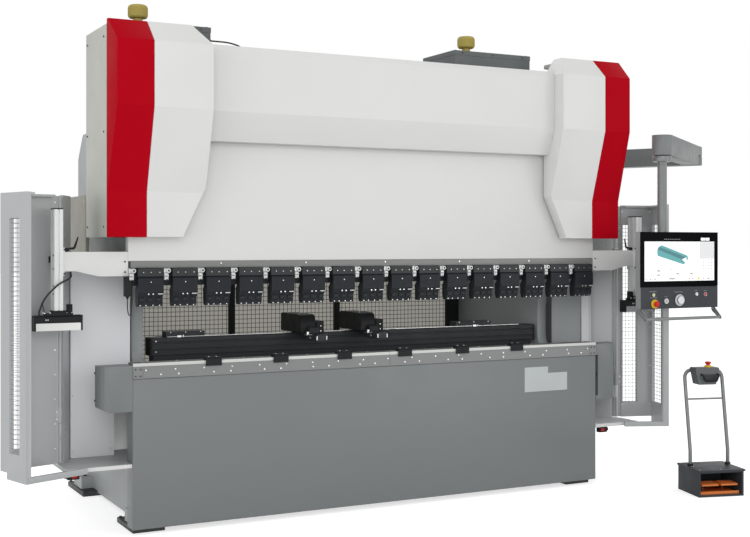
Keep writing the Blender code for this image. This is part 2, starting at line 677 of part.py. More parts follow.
def guard_door(side, sign):
    """Model one hinged side guard: folded sheet with two windows, bottom rail and meshes."""
    hinge = Vector(HINGE[side])
    width = GUARD_WIDTH[side]
    out = Vector((sign * math.cos(GUARD_TURN), -math.sin(GUARD_TURN)))
    ahead = Vector((-sign * math.sin(GUARD_TURN), -math.cos(GUARD_TURN)))

    def plan(*points):
        return [hinge + out * u + ahead * v for u, v in points]

    axis = new_empty(side + "_guard_axis", (*hinge, GUARD_LOW), MACHINE)
    inner, outer = width - SHEET, width + SHEET
    front = GUARD_SIDE + SHEET
    fold = ((0.050, -SHEET), (outer, -SHEET), (outer, front), (inner - 0.020, front),
            (inner - 0.020, front - 0.020), (inner, front - 0.020), (inner, SHEET), (0.050, SHEET))
    sheet = plate(plan(*fold), "XY", GUARD_LOW, GUARD_TOP)
    clearing = ((-0.1, -0.1), (outer + 0.1, -0.1), (outer + 0.1, 0.030), (-0.1, 0.030))
    sheet = cut(sheet, plate(plan(*clearing), "XY", GUARD_LOW - 0.1, GUARD_LIFT))
    start, end = Vector((-0.030, 0.207)), Vector((width, GUARD_SIDE - 0.006))
    thick = Vector((start.y - end.y, end.x - start.x)).normalized() * 0.020
    rail = (start, end, end + thick, start + thick)
    sheet = fuse(sheet, plate(plan(*rail), "XY", GUARD_LOW + 0.001, 0.386))
    rim = 0.003
    brim = ((0.050 + rim, -SHEET + rim), (outer - rim, -SHEET + rim), (outer - rim, front - rim),
            (inner - 0.030, front - rim), (inner - 0.030, 0.034), (0.050 + rim, 0.034))
    sheet = fuse(sheet, plate(plan(*brim), "XY", GUARD_TOP - 0.014, GUARD_TOP - 0.002))
    back_window = (0.080, min(0.205, width - 0.050))
    side_window = (0.040, 0.170)
    deep = SHEET + 0.01
    windows = (((back_window[0], -0.1), (back_window[1], -0.1), (back_window[1], deep), (back_window[0], deep)),
               ((inner - 0.01, side_window[0]), (outer + 0.1, side_window[0]),
                (outer + 0.1, side_window[1]), (inner - 0.01, side_window[1])))
    sheet = cut(sheet, *(plate(plan(*window), "XY", *WINDOW_SPAN) for window in windows))
    sheet = with_knuckles(sheet, hinge, out, (0.602, 1.602))
    node(side + "_guard", sheet, GUARD_GREY, axis)
    low, high = WINDOW_SPAN[0] + GAP, WINDOW_SPAN[1] - GAP
    across = plan((back_window[0] + GAP, 0), (back_window[1] - GAP, 0))
    node(side + "_back_mesh", lattice(*across, low, high, 2, 12, 0.004, 0.004), WIRE, axis)
    across = plan((width, side_window[0] + GAP), (width, side_window[1] - GAP))
    node(side + "_side_mesh", lattice(*across, low, high, 2, 12, 0.004, 0.004), WIRE, axis)


def back_gauge():
    """Model the back gauge: carriage, lifting beam and two fingers."""
    depth = new_empty("gauge_depth_axis", (0, 0.560, 0.800), MACHINE)
    carriage = box((-1.270, 0.560, 0.700), (1.270, 0.640, 0.840), 0.004)
    for _, sign in SIDES:
        carriage = fuse(carriage, box((sign * 1.250, 0.530, 0.806), (sign * 1.345, 0.670, 0.840)),
                        box((sign * 1.120, 0.507, 0.780), (sign * 1.220, 0.600, 1.260)))
    node("gauge_carriage", carriage, CHARCOAL, depth)
    lift = new_empty("gauge_lift_axis", (0, 0.450, BEAM_SPAN[0]), depth)
    beam = box((-BEAM_HALF, 0.400, BEAM_SPAN[0]), (BEAM_HALF, 0.500, BEAM_SPAN[1]), 0.004)
    for centre, half in ((-1.100, 0.113), (0.854, 0.150)):
        beam = fuse(beam, box((centre - half, 0.410, BEAM_SPAN[1] - 0.02), (centre + half, 0.490, 1.066)))
    node("gauge_beam", beam, BLACK, lift)
    outline = [(0.160, 0.976), (0.300, 0.976), (0.300, 1.0203), (0.600, 1.0203), (0.600, 1.130),
               (0.330, 1.130), (0.290, 1.105), (0.265, 1.040), (0.160, 1.020)]
    for side, _ in SIDES:
        centre = FINGER_CENTRE[side]
        slide = new_empty(side + "_finger_axis", (centre, 0.450, BEAM_SPAN[1]), lift)
        finger = plate(outline, "YZ", centre - FINGER_WIDTH / 2, centre + FINGER_WIDTH / 2)
        node(side + "_finger", finger, BLACK, slide)


def tongue(centre, along, low, high):
    """Return the half-height round end of a pendant link, about its pivot."""
    across = Vector((-along.y, along.x))
    half = LINK_HALF - 0.002
    outline = [centre + along * 0.130 + across * half, centre + along * 0.130 - across * half]
    for step in range(9):
        turn = math.radians(-90 - 22.5 * step)
        outline.append(centre + (along * math.cos(turn) + across * math.sin(turn)) * TONGUE)
    return plate(outline, "XY", low, high)


def link_body(start, end, trim_start, trim_end):
    """Return the full-height square tube of a link, cut short of its two pivots."""
    along = (end - start).normalized()
    across = Vector((-along.y, along.x)) * LINK_HALF
    near, far = start + along * trim_start, end - along * trim_end
    return plate([near - across, far - across, far + across, near + across], "XY", LINK_LOW, LINK_TOP)


def pendant():
    """Model the bracket, the two links, the drop tube and the operator's case."""
    out = Vector((1, 0))
    inner_way = (ELBOW - PIVOT).normalized()
    outer_way = (DROP - ELBOW).normalized()
    foot = Vector((FRAME_OUTER + GAP, PIVOT.y))
    bracket = fuse(link_body(foot, PIVOT, 0, 0.100), tongue(PIVOT, -out, LINK_LOW, LAP_LOW))
    washer = rod((*PIVOT, 2.178), 0.030, 0.007)
    node("pendant_bracket", fuse(bracket, washer), CHARCOAL, MACHINE)
    inner_axis = new_empty("pendant_inner_axis", (*PIVOT, LAP_LOW), MACHINE)
    inner = fuse(link_body(PIVOT, ELBOW, 0.100, 0.100), tongue(PIVOT, inner_way, LAP_TOP, LINK_TOP),
                 tongue(ELBOW, -inner_way, LINK_LOW, LAP_LOW), rod((*ELBOW, 2.178), 0.030, 0.007))
    node("pendant_inner_arm", inner, CHARCOAL, inner_axis)
    outer_axis = new_empty("pendant_outer_axis", (*ELBOW, LAP_LOW), inner_axis)
    outer = fuse(link_body(ELBOW, DROP, 0.100, 0.100), tongue(ELBOW, outer_way, LAP_TOP, LINK_TOP),
                 tongue(DROP, -outer_way, LINK_LOW + 0.001, LINK_TOP - 0.001))
    node("pendant_outer_arm", outer, CHARCOAL, outer_axis)
    axis = new_empty("pendant_head_axis", (*DROP, 2.110), outer_axis)
    profile = ((0, 2.114), (0.025, 2.114), (0.025, 2.110), (0.060, 2.110), (0.060, 2.075), (0.030, 2.075),
               (0.030, 1.450), (0, 1.450))
    saddle = box((DROP.x - 0.050, CASE_BACK + GAP, 1.460), (DROP.x + 0.050, -0.290, 1.600))
    node("pendant_tube", fuse(turned(profile, (*DROP, 0)), saddle), GUARD_GREY, axis)
    case = box((CASE_X[0], CASE_FRONT, CASE_LOW), (CASE_X[1], CASE_BACK, CASE_TOP), 0.004)
    before = CASE_FRONT - 0.01
    seam = box((CASE_X[0] - 0.01, before, CASE_SEAM - 0.001),
               (CASE_X[1] + 0.01, CASE_FRONT + 0.004, CASE_SEAM + 0.001))
    recess = box((SCREEN_X[0], before, SCREEN_Z[0]), (SCREEN_X[1], CASE_FRONT + 0.003, SCREEN_Z[1]))
    case = cut(case, seam, recess)
    for x, z, radius, tall in CONTROLS:
        case = fuse(case, rod((x, CASE_FRONT + 0.004 - tall / 2, z), radius, tall, "Y", 16))
    node("pendant_case", case, CHARCOAL, axis)
    ends, low, grip = (CASE_X[0] + 0.020, CASE_X[1] - 0.020), CASE_LOW - GAP, -0.400
    route = bent(((ends[0], -0.335, low), (ends[0], -0.335, 1.125), (ends[0], grip, 1.080),
                  (ends[1], grip, 1.080), (ends[1], -0.335, 1.125), (ends[1], -0.335, low)), 0.012, 3)
    node("pendant_handle", tube(route, 0.010), GUARD_GREY, axis)


CONSOLE = Matrix.Translation((*CONSOLE_CORNER, 0)) @ Matrix.Rotation(CONSOLE_TURN, 4, "Z")


def on_console(piece):
    """Move a solid drawn in the console's own frame to where the console stands."""
    piece.matrix_world = CONSOLE @ piece.matrix_world
    return piece


def foot_console():
    """Model the foot console: open base, pedals, hoop with its bar, control box and button."""
    wide, deep, high = CONSOLE_WIDE, CONSOLE_DEEP, CONSOLE_HIGH
    base = box((0, 0, 0), (wide, deep, high - 0.005))
    base = cut(base, box((0.012, -0.1, 0.012), (wide - 0.012, deep - 0.015, high - 0.020)))
    lid = box((-0.006, -0.010, high - 0.012), (wide + 0.006, deep + 0.004, high))
    bearing = box((0.010, PEDAL_AXIS[0] + 0.006, 0.010), (wide - 0.010, PEDAL_AXIS[0] + 0.036, 0.055))
    node("console_base", on_console(fuse(base, lid, bearing)), CHARCOAL, MACHINE)
    back = HOOP_V + HOOP_LEAN
    foot = high + GAP
    route = bent(((HOOP_U[0], HOOP_V, foot), (HOOP_U[0], HOOP_V, 0.260), (HOOP_U[0], back, HOOP_TOP),
                  (HOOP_U[1], back, HOOP_TOP), (HOOP_U[1], HOOP_V, 0.260),
                  (HOOP_U[1], HOOP_V, foot)), 0.050, 5)
    bar_v = HOOP_V + HOOP_LEAN * (0.575 - 0.260) / (HOOP_TOP - 0.260)
    bar = rod(((HOOP_U[0] + HOOP_U[1]) / 2, bar_v, 0.575), 0.006, HOOP_U[1] - HOOP_U[0], "X", 10)
    node("console_hoop", on_console(fuse(tube(route, HOOP_RADIUS), bar)), GUARD_GREY, MACHINE)
    middle = (HOOP_U[0] + HOOP_U[1]) / 2
    face = [(middle - 0.078, 0.670), (middle + 0.078, 0.670), (middle + 0.096, 0.760),
            (middle + 0.096, 0.776), (middle - 0.096, 0.776), (middle - 0.096, 0.760)]
    case = plate(face, "XZ", back - 0.095, back - HOOP_RADIUS - 4 * GAP)
    button = ((0, 0.036), (0.014, 0.036), (0.020, 0.030), (0.020, 0.020), (0.012, 0.016), (0.012, 0.010),
              (0.022, 0.010), (0.022, -0.01), (0, -0.01))
    case = fuse(case, turned(button, (middle + 0.015, back - 0.050, 0.776), 16))
    node("console_box", on_console(case), CHARCOAL, MACHINE)
    tread = [(0.020, 0.062), (PEDAL_AXIS[0], PEDAL_AXIS[1] - 0.006), (PEDAL_AXIS[0], PEDAL_AXIS[1] + 0.006),
             (0.100, 0.082), (0.020, 0.076)]
    for (side, _), start in zip(SIDES, PEDAL_U):
        place = CONSOLE @ Vector((start + PEDAL_WIDE / 2, *PEDAL_AXIS))
        axis = new_empty(side + "_pedal_axis", place, MACHINE)
        node(side + "_pedal", on_console(plate(tread, "YZ", start, start + PEDAL_WIDE)), ORANGE, axis)


def main():
    """Build the machine, then move its frame to the origin's foot."""
    side_frames()
    bed()
    bed_covers()
    cross_members()
    housing()
    top_boxes()
    laser_arms(ram())
    guards()
    rear_fence()
    for side, sign in SIDES:
        guard_door(side, sign)
    back_gauge()
    pendant()
    foot_console()
    MACHINE.location = -Vector(ORIGIN)


main()
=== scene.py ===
"""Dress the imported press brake: finishes, fine parts, cables, light and camera.

Metres, +Z up. Sizes are in the bed's frame: X to the right along the bed from its middle, Y to
the back from the bed plate's front face and Z up from the floor. SHIFT moves that frame to the
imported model's. Angles are in radians unless a name says otherwise.
"""

import json
import logging
import math
from collections.abc import Callable, Iterable, Sequence
from dataclasses import dataclass, field
from enum import Enum

import bmesh
import bpy
from mathutils import Matrix, Vector

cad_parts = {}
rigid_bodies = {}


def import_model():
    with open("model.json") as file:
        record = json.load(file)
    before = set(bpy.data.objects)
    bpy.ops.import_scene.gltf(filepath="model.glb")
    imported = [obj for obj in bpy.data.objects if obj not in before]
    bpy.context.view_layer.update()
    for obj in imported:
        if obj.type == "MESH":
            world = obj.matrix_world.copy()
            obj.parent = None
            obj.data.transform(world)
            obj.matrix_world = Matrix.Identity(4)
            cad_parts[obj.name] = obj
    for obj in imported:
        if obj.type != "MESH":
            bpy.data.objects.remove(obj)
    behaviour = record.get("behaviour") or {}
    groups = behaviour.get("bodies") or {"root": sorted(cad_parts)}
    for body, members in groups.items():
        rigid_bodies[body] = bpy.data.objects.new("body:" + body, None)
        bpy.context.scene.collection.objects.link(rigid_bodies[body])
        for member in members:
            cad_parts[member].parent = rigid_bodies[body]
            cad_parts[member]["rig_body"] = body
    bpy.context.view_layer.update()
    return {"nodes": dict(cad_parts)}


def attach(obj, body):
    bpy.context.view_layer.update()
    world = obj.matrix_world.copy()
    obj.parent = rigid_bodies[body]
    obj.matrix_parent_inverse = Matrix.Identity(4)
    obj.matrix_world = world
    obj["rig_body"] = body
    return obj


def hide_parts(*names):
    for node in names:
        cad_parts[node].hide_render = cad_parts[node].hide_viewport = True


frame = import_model()
NODES = frame["nodes"]
LOG = logging.getLogger("press_brake")

Plan = tuple[float, float]
Place = tuple[float, float, float]
Colour = tuple[float, float, float]

SHIFT = Matrix.Translation((1.42, -0.21, 0.0))
SIDES = (("left", -1), ("right", 1))
FRONT = (0.0, -1.0, 0.0)
BACK = (0.0, 1.0, 0.0)
UP = (0.0, 0.0, 1.0)
WELD = 0.00002
TIP = 0.00005
FLAT_FOLD = math.radians(0.4)
BUMP_DEPTH = 0.0004
NOISE_SPAN = (0.3, 0.7)
SMEARS_PER_PATCH = 4.0
TWIST_SEED = 7


def set_inputs(node: bpy.types.Node, values: dict[str, object]) -> None:
    """Set the values of a shader node's named inputs."""
    for name, value in values.items():
        node.inputs[name].default_value = value


def add_object(name: str, data: bpy.types.ID) -> bpy.types.Object:
    """Add an object to the scene.

    Args:
        name: The object's name.
        data: Its mesh, curve, light or camera.

    Returns:
        The object.
    """
    obj = bpy.data.objects.new(name, data)
    bpy.context.scene.collection.objects.link(obj)
    return obj


@dataclass(frozen=True)
class Grain:
    """How a surface is broken up.

    Attributes:
        patches: Broad patches per metre.
        tone: How far the colour strays over the patches, as a share.
        gloss: How far the roughness strays.
        grain: Fine grain per metre along X, Y and Z.
        relief: Strength of the bump that the fine grain makes.
    """

    patches: float
    tone: float
    gloss: float
    grain: Place
    relief: float


class Surface(Enum):
    """The kinds of surface on the machine."""

    ENAMEL = Grain(1.7, 0.035, 0.06, (420.0, 420.0, 420.0), 0.05)
    POWDER = Grain(2.5, 0.05, 0.07, (900.0, 900.0, 900.0), 0.22)
    GROUND = Grain(6.0, 0.1, 0.12, (9.0, 650.0, 650.0), 0.14)
    DRAWN = Grain(5.0, 0.07, 0.1, (700.0, 700.0, 7.0), 0.12)
    OXIDE = Grain(14.0, 0.16, 0.14, (520.0, 520.0, 520.0), 0.16)
    MOULDED = Grain(5.0, 0.05, 0.08, (1300.0, 1300.0, 1300.0), 0.1)
    GLASS = Grain(3.0, 0.02, 0.03, (300.0, 300.0, 300.0), 0.01)
    FINE = Grain(1.3, 0.03, 0.05, (5.0, 480.0, 480.0), 0.03)


@dataclass(frozen=True)
class Finish:
    """One finish: its colour, its gloss and how its surface is broken up.

    Attributes:
        name: The material's name.
        slot: The record's material slot that it belongs to.
        colour: Linear base colour.
        rough: Middle roughness.
        surface: The kind of surface.
        metal: 1 for bare metal.
        glow: Strength of the light that a display gives; on the rear screen sheet the glow is painted
            light.
        shine: How far the index of refraction is above 1, 0.5 for common paint.
    """

    name: str
    slot: str
    colour: Colour
    rough: float
    surface: Surface = Surface.ENAMEL
    metal: float = 0.0
    glow: float = 0.0
    shine: float = 0.5

    def material(self) -> bpy.types.Material:
        """Return the finish's material, which is made the first time."""
        return bpy.data.materials.get(self.name) or self._mixed()

    def _mixed(self) -> bpy.types.Material:
        """Make the material from noise on Object coordinates.

        Returns:
            The new material.
        """
        grain = self.surface.value
        material = bpy.data.materials.new(self.name)
        material.use_nodes = True
        tree = material.node_tree
        shader = tree.nodes["Principled BSDF"]
        set_inputs(shader, {"Metallic": self.metal, "IOR": 1.0 + self.shine})
        if self.glow:
            set_inputs(shader, {"Emission Color": (*self.colour, 1.0), "Emission Strength": self.glow})
        patches = _noise(tree, (grain.patches,) * 3, 3.0)
        tone = tree.nodes.new("ShaderNodeMix")
        tone.data_type = "RGBA"
        for socket, share in (("A", 1.0 - grain.tone), ("B", 1.0 + grain.tone)):
            shade = [min(1.0, channel * share) for channel in self.colour]
            _colour_input(tone, socket).default_value = (*shade, 1.0)
        tree.links.new(patches, tone.inputs["Factor"])
        tree.links.new(next(o for o in tone.outputs if o.type == "RGBA"), shader.inputs["Base Color"])
        smears = _noise(tree, (grain.patches * SMEARS_PER_PATCH,) * 3, 5.0)
        spread = tree.nodes.new("ShaderNodeMapRange")
        set_inputs(spread, {"From Min": NOISE_SPAN[0], "From Max": NOISE_SPAN[1],
                            "To Min": max(0.02, self.rough - grain.gloss),
                            "To Max": min(1.0, self.rough + grain.gloss)})
        tree.links.new(smears, spread.inputs["Value"])
        tree.links.new(spread.outputs["Result"], shader.inputs["Roughness"])
        bump = tree.nodes.new("ShaderNodeBump")
        set_inputs(bump, {"Strength": grain.relief, "Distance": BUMP_DEPTH})
        tree.links.new(_noise(tree, grain.grain, 2.0), bump.inputs["Height"])
        tree.links.new(bump.outputs["Normal"], shader.inputs["Normal"])
        return material


def _colour_input(mix: bpy.types.Node, name: str) -> bpy.types.NodeSocket:
    """Return the colour input of a Mix node that has that name."""
    return next(socket for socket in mix.inputs if socket.name == name and socket.type == "RGBA")


def _noise(tree: bpy.types.NodeTree, scale: Place, detail: float) -> bpy.types.NodeSocket:
    """Add a noise on Object coordinates.

    Args:
        tree: The material's node tree.
        scale: Features per metre along each axis.
        detail: Octaves of detail.

    Returns:
        The noise's factor output.
    """
    place = tree.nodes.new("ShaderNodeTexCoord")
    mapping = tree.nodes.new("ShaderNodeMapping")
    set_inputs(mapping, {"Scale": scale})
    noise = tree.nodes.new("ShaderNodeTexNoise")
    set_inputs(noise, {"Scale": 1.0, "Detail": detail})
    tree.links.new(place.outputs["Object"], mapping.inputs["Vector"])
    tree.links.new(mapping.outputs["Vector"], noise.inputs["Vector"])
    return noise.outputs[0]


BED = Finish("bed_enamel", "bed_grey", (0.165, 0.18, 0.182), 0.42)
FOOT = Finish("foot_black", "bed_grey", (0.022, 0.024, 0.026), 0.55, Surface.OXIDE)
RAIL = Finish("rail_enamel", "rail_grey", (0.205, 0.215, 0.213), 0.38)
STRIP = Finish("ram_foot_enamel", "rail_grey", (0.19, 0.195, 0.19), 0.4)
# The side frames' grey is lightened well above the bed's grey: painted light standing in for the lit
# throats.
FRAME = Finish("side_frame_painted_light", "bed_grey", (0.34, 0.362, 0.366), 0.45)
DIE = Finish("ground_die_steel", "die_steel", (0.56, 0.565, 0.545), 0.42, Surface.FINE, metal=0.2)
# The die strip's top, grooves, back and ends are painted dark as painted shade under the ram; the front
# face keeps the ground steel.
DIE_TOP_PAINTED_SHADE = Finish("die_top_painted_shade", "die_steel", (0.15, 0.152, 0.148), 0.5, Surface.FINE, metal=0.2)
CLAMP = Finish("die_clamp_black", "die_steel", (0.018, 0.02, 0.021), 0.5, Surface.OXIDE, shine=0.2)
RED = Finish("red_satin_enamel", "red_enamel", (0.415, 0.002, 0.0095), 0.42, shine=0.08)
WHITE = Finish("white_satin_enamel", "white_enamel", (0.695, 0.698, 0.688), 0.38, shine=0.4)
# The end panel's white is brighter than the covers' white enamel: painted light on panels that stand in
# shade.
PANEL_PAINTED_LIGHT = Finish("end_panel_painted_light", "white_enamel", (0.79, 0.8, 0.82), 0.42)
PALE = Finish("pale_satin_enamel", "pale_enamel", (0.44, 0.445, 0.4), 0.42)
GUARD = Finish("guard_enamel", "guard_grey", (0.4, 0.415, 0.42), 0.42)
# Near-black for the rear fence: painted shade at the back of the machine.
REAR_FRAME_PAINTED_SHADE = Finish("rear_frame_painted_shade", "guard_grey", (0.03, 0.031, 0.032), 0.5, shine=0.2)
# A lighter copy of the guard grey: painted light on the right shelf and its hinge post.
POST_PAINTED_LIGHT = Finish("post_painted_light", "guard_grey", (0.66, 0.675, 0.69), 0.42)
# The left fence's beige tint is its paint; its darkness below the right fence's guard grey is painted shade
# under the housing.
FENCE_PAINTED_SHADE = Finish("fence_beige_painted_shade", "guard_grey", (0.22, 0.212, 0.176), 0.5)
GALVANISED = Finish("woven_wire", "wire", (0.3, 0.31, 0.31), 0.45, Surface.OXIDE, metal=0.4)
DARK_WIRE = Finish("rear_wire_dark", "wire", (0.05, 0.05, 0.048), 0.55, Surface.OXIDE, shine=0.2)
# A tan sheet behind the rear wires for the shaded view through them, made to glow: the sheet is painted
# shade and its glow is painted light.
SCREEN_SHEET_PAINTED_GLOW = Finish("rear_screen_painted_glow", "wire", (0.5, 0.485, 0.44), 0.6, glow=0.42)
CHARCOAL = Finish("charcoal_powder", "charcoal", (0.085, 0.094, 0.096), 0.5, Surface.POWDER)
SLATE = Finish("slate_powder", "charcoal", (0.038, 0.042, 0.048), 0.5, Surface.POWDER, shine=0.3)
BREATHER = Finish("breather_yellow", "charcoal", (0.38, 0.3, 0.06), 0.5, Surface.MOULDED)
BLACK = Finish("tool_holder_black", "black_steel", (0.016, 0.019, 0.022), 0.42, Surface.OXIDE, shine=0.25)
BAND = Finish("holder_band_grey", "black_steel", (0.03, 0.033, 0.035), 0.4, Surface.FINE, shine=0.3)
ARM = Finish("pendant_arm_powder", "charcoal", (0.18, 0.19, 0.192), 0.5, Surface.POWDER)
LEVER = Finish("cast_lever_silver", "black_steel", (0.56, 0.565, 0.56), 0.34, Surface.OXIDE, metal=0.55)
GAUGE = Finish("gauge_anodised", "black_steel", (0.032, 0.035, 0.039), 0.42, Surface.DRAWN, shine=0.3)
BRIGHT = Finish("bright_steel", "die_steel", (0.7, 0.7, 0.69), 0.26, Surface.GROUND, metal=1.0)
DARK_BOLT = Finish("blackened_bolt", "black_steel", (0.03, 0.031, 0.033), 0.4, Surface.OXIDE)
ANODISED = Finish("anodised_rail", "aluminium", (0.72, 0.73, 0.73), 0.4, Surface.DRAWN, metal=0.1)
UNIT_FACE = Finish("unit_face_white", "black_steel", (0.74, 0.745, 0.73), 0.4, Surface.MOULDED)
UNIT_GREY = Finish("unit_face_grey", "black_steel", (0.3, 0.305, 0.31), 0.45, Surface.MOULDED)
PLASTIC = Finish("black_plastic", "black_steel", (0.013, 0.014, 0.015), 0.5, Surface.MOULDED, shine=0.25)
RUBBER = Finish("black_rubber", "black_lead", (0.012, 0.012, 0.013), 0.62, Surface.MOULDED)
BEZEL = Finish("bezel_glass", "charcoal", (0.003, 0.003, 0.004), 0.16, Surface.GLASS, shine=0.08)
LIT = Finish("screen_white", "charcoal", (0.9, 0.905, 0.91), 0.25, Surface.GLASS, glow=0.28)
LIT_GREY = Finish("screen_grey", "charcoal", (0.66, 0.67, 0.68), 0.25, Surface.GLASS, glow=0.2)
LIT_TEAL = Finish("screen_teal", "charcoal", (0.08, 0.34, 0.35), 0.25, Surface.GLASS, glow=0.15)
LIT_DEEP = Finish("screen_teal_shade", "charcoal", (0.04, 0.19, 0.21), 0.25, Surface.GLASS, glow=0.1)
LIT_MARK = Finish("screen_mark", "charcoal", (0.12, 0.125, 0.13), 0.4, Surface.GLASS, shine=0.2)
LIT_YELLOW = Finish("screen_yellow", "charcoal", (0.85, 0.56, 0.03), 0.25, Surface.GLASS, glow=0.15)
MARK = Finish("pale_marking", "charcoal", (0.42, 0.43, 0.44), 0.5, Surface.MOULDED)
STOP_RED = Finish("stop_red", "charcoal", (0.56, 0.012, 0.012), 0.38, Surface.MOULDED, shine=0.3)
STOP_YELLOW = Finish("stop_yellow", "charcoal", (0.76, 0.52, 0.045), 0.45, Surface.MOULDED, shine=0.2)
LAMP = Finish("lamp_lens", "charcoal", (0.56, 0.6, 0.3), 0.22, Surface.GLASS, glow=0.1)
CHROME = Finish("dial_chrome", "charcoal", (0.42, 0.425, 0.43), 0.3, Surface.GROUND, metal=0.9)
TUBE = Finish("tube_enamel", "guard_grey", (0.19, 0.2, 0.2), 0.36, Surface.DRAWN, metal=0.2)
ORANGE = Finish("pedal_shell_orange", "pedal_orange", (0.64, 0.17, 0.025), 0.44, Surface.MOULDED)
TREAD = Finish("pedal_tread", "pedal_orange", (0.42, 0.09, 0.012), 0.55, Surface.MOULDED)
CHART = Finish("bare_plate", "bed_grey", (0.46, 0.49, 0.49), 0.4, Surface.GROUND)


def circle(radius: float, count: int, start: float = 0.0) -> list[Plan]:
    """Return evenly spaced points on a circle.

    Args:
        radius: Its radius.
        count: The number of points.
        start: Where the first one is, in steps.

    Returns:
        The points.
    """
    angles = [2 * math.pi * (step + start) / count for step in range(count)]
    return [(radius * math.cos(angle), radius * math.sin(angle)) for angle in angles]


class Blank:
    """A mesh that is built shell by shell in the bed's frame."""

    def __init__(self, placing: Matrix | None = None) -> None:
        """Start an empty mesh.

        Args:
            placing: Where the drawing frame stands in the bed's frame.
        """
        self.shells = bmesh.new()
        self.placing = placing or Matrix()

    def _place(self, verts: Iterable[bmesh.types.BMVert], matrix: Matrix) -> "Blank":
        """Move new vertices by a matrix and return the blank."""
        bmesh.ops.transform(self.shells, matrix=matrix, verts=list(verts))
        return self

    def box(self, low: Place, high: Place, turn: Matrix | None = None) -> "Blank":
        """Add a box.

        Args:
            low: One corner.
            high: The opposite corner.
            turn: A turn about the box's own centre.

        Returns:
            The blank.
        """
        first, second = Vector(map(min, low, high)), Vector(map(max, low, high))
        size = Matrix.Diagonal((*(second - first), 1.0))
        made = bmesh.ops.create_cube(self.shells, size=1.0)["verts"]
        return self._place(made, Matrix.Translation((first + second) / 2) @ (turn or Matrix()) @ size)

    def rod(self, start: Place, end: Place, radius: float, tip: float | None = None,
            sides: int = 16) -> "Blank":
        """Add a capped round bar between two points.

        Args:
            start: The middle of the first cap.
            end: The middle of the second cap.
            radius: The radius at the start.
            tip: The radius at the end, the same if left out.
            sides: How many sides it has.

        Returns:
            The blank.
        """
        run = Vector(end) - Vector(start)
        made = bmesh.ops.create_cone(self.shells, cap_ends=True, segments=sides, radius1=radius,
                                     radius2=radius if tip is None else tip, depth=run.length)["verts"]
        turn = run.to_track_quat("Z", "Y").to_matrix().to_4x4()
        return self._place(made, Matrix.Translation(Vector(start) + run / 2) @ turn)

    def prism(self, outline: Sequence[Plan], plane: str, low: float, high: float) -> "Blank":
        """Add an outline extruded across its plane.

        Args:
            outline: The corners in the plane.
            plane: Two of X, Y and Z.
            low: Where it starts across the plane.
            high: Where it ends.

        Returns:
            The blank.
        """
        def place(u: float, v: float, w: float) -> Place:
            return {"XY": (u, v, w), "XZ": (u, w, v), "YZ": (w, u, v)}[plane]

        rings = [[self.shells.verts.new(place(u, v, w)) for u, v in outline] for w in (low, high)]
        return self.wall(rings)

    def turned(self, profile: Sequence[Plan], place: Place, facing: Place = UP, steps: int = 24) -> "Blank":
        """Add a turned piece.

        Args:
            profile: Pairs of radius and height, from one end to the other.
            place: Where height 0 is.
            facing: The way that height grows.
            steps: Sides of the turning.

        Returns:
            The blank.
        """
        rings = [[self.shells.verts.new((x, y, height)) for x, y in circle(max(radius, TIP), steps)]
                 for radius, height in profile]
        self.wall(rings)
        turn = Vector(facing).to_track_quat("Z", "Y").to_matrix().to_4x4()
        return self._place([vert for ring in rings for vert in ring], Matrix.Translation(place) @ turn)

    def tube(self, points: Sequence[Place], radius: float, sides: int = 12, ends: float = 1.0) -> "Blank":
        """Add a round tube along points, its ends capped and drawn in by a share.

        Args:
            points: The line that it follows.
            radius: The tube's radius.
            sides: Sides of the tube.
            ends: The share of the radius that its ends keep.

        Returns:
            The blank.
        """
        line = [Vector(point) for point in points]
        across = (line[1] - line[0]).orthogonal().normalized()
        rings = []
        for index, point in enumerate(line):
            run = line[min(index + 1, len(line) - 1)] - line[max(index - 1, 0)]
            run.normalize()
            across = (across - run * across.dot(run)).normalized()
            second = run.cross(across)
            size = radius * (ends if index in (0, len(line) - 1) else 1.0)
            rings.append([self.shells.verts.new(point + (across * x + second * y) * size)
                          for x, y in circle(1.0, sides)])
        return self.wall(rings)

    def slab(self, origin: Vector, along: Vector, across: Vector, reach: Plan, width: Plan,
             heights: Plan) -> "Blank":
        """Add an upright slab whose plan is a rectangle on two directions.

        Args:
            origin: Where both directions start, in plan.
            along: The first direction.
            across: The second direction.
            reach: Where it starts and ends along the first.
            width: Where it starts and ends along the second.
            heights: Its foot and its top.

        Returns:
            The blank.
        """
        corners = ((reach[0], width[0]), (reach[1], width[0]), (reach[1], width[1]), (reach[0], width[1]))
        return self.prism([tuple(origin + along * u + across * v) for u, v in corners], "XY", *heights)

    def wall(self, rings: Sequence[Sequence[bmesh.types.BMVert]]) -> "Blank":
        """Join rings of vertices with faces and cap both ends.

        Args:
            rings: Rings of equal count, from one end to the other.

        Returns:
            The blank.
        """
        for lower, upper in zip(rings, rings[1:]):
            for index in range(len(lower)):
                after = (index + 1) % len(lower)
                self.shells.faces.new((lower[index], lower[after], upper[after], upper[index]))
        self.shells.faces.new(reversed(rings[0]))
        self.shells.faces.new(rings[-1])
        return self

    def mesh(self, name: str, shift: Matrix = SHIFT) -> bpy.types.Mesh:
        """Return the finished mesh in the model's frame and close the blank.

        Args:
            name: The mesh's name.
            shift: What moves the bed's frame to the model's.

        Returns:
            The mesh, its faces pointing out.
        """
        bmesh.ops.transform(self.shells, matrix=shift @ self.placing, verts=self.shells.verts)
        bmesh.ops.recalc_face_normals(self.shells, faces=self.shells.faces)
        mesh = bpy.data.meshes.new(name)
        self.shells.to_mesh(mesh)
        self.shells.free()
        return mesh

    def piece(self, name: str, finish: Finish, body: str, edge: float = 0.001,
              stands_for: Sequence[str] = ()) -> bpy.types.Object:
        """Finish the blank as a piece that rides on a body.

        Args:
            name: The piece's name.
            finish: Its finish.
            body: The body that it rides on.
            edge: How far its edges are rounded.
            stands_for: The nodes that it replaces.

        Returns:
            The piece.
        """
        return mount(self.mesh(name), name, finish, body, edge, stands_for)


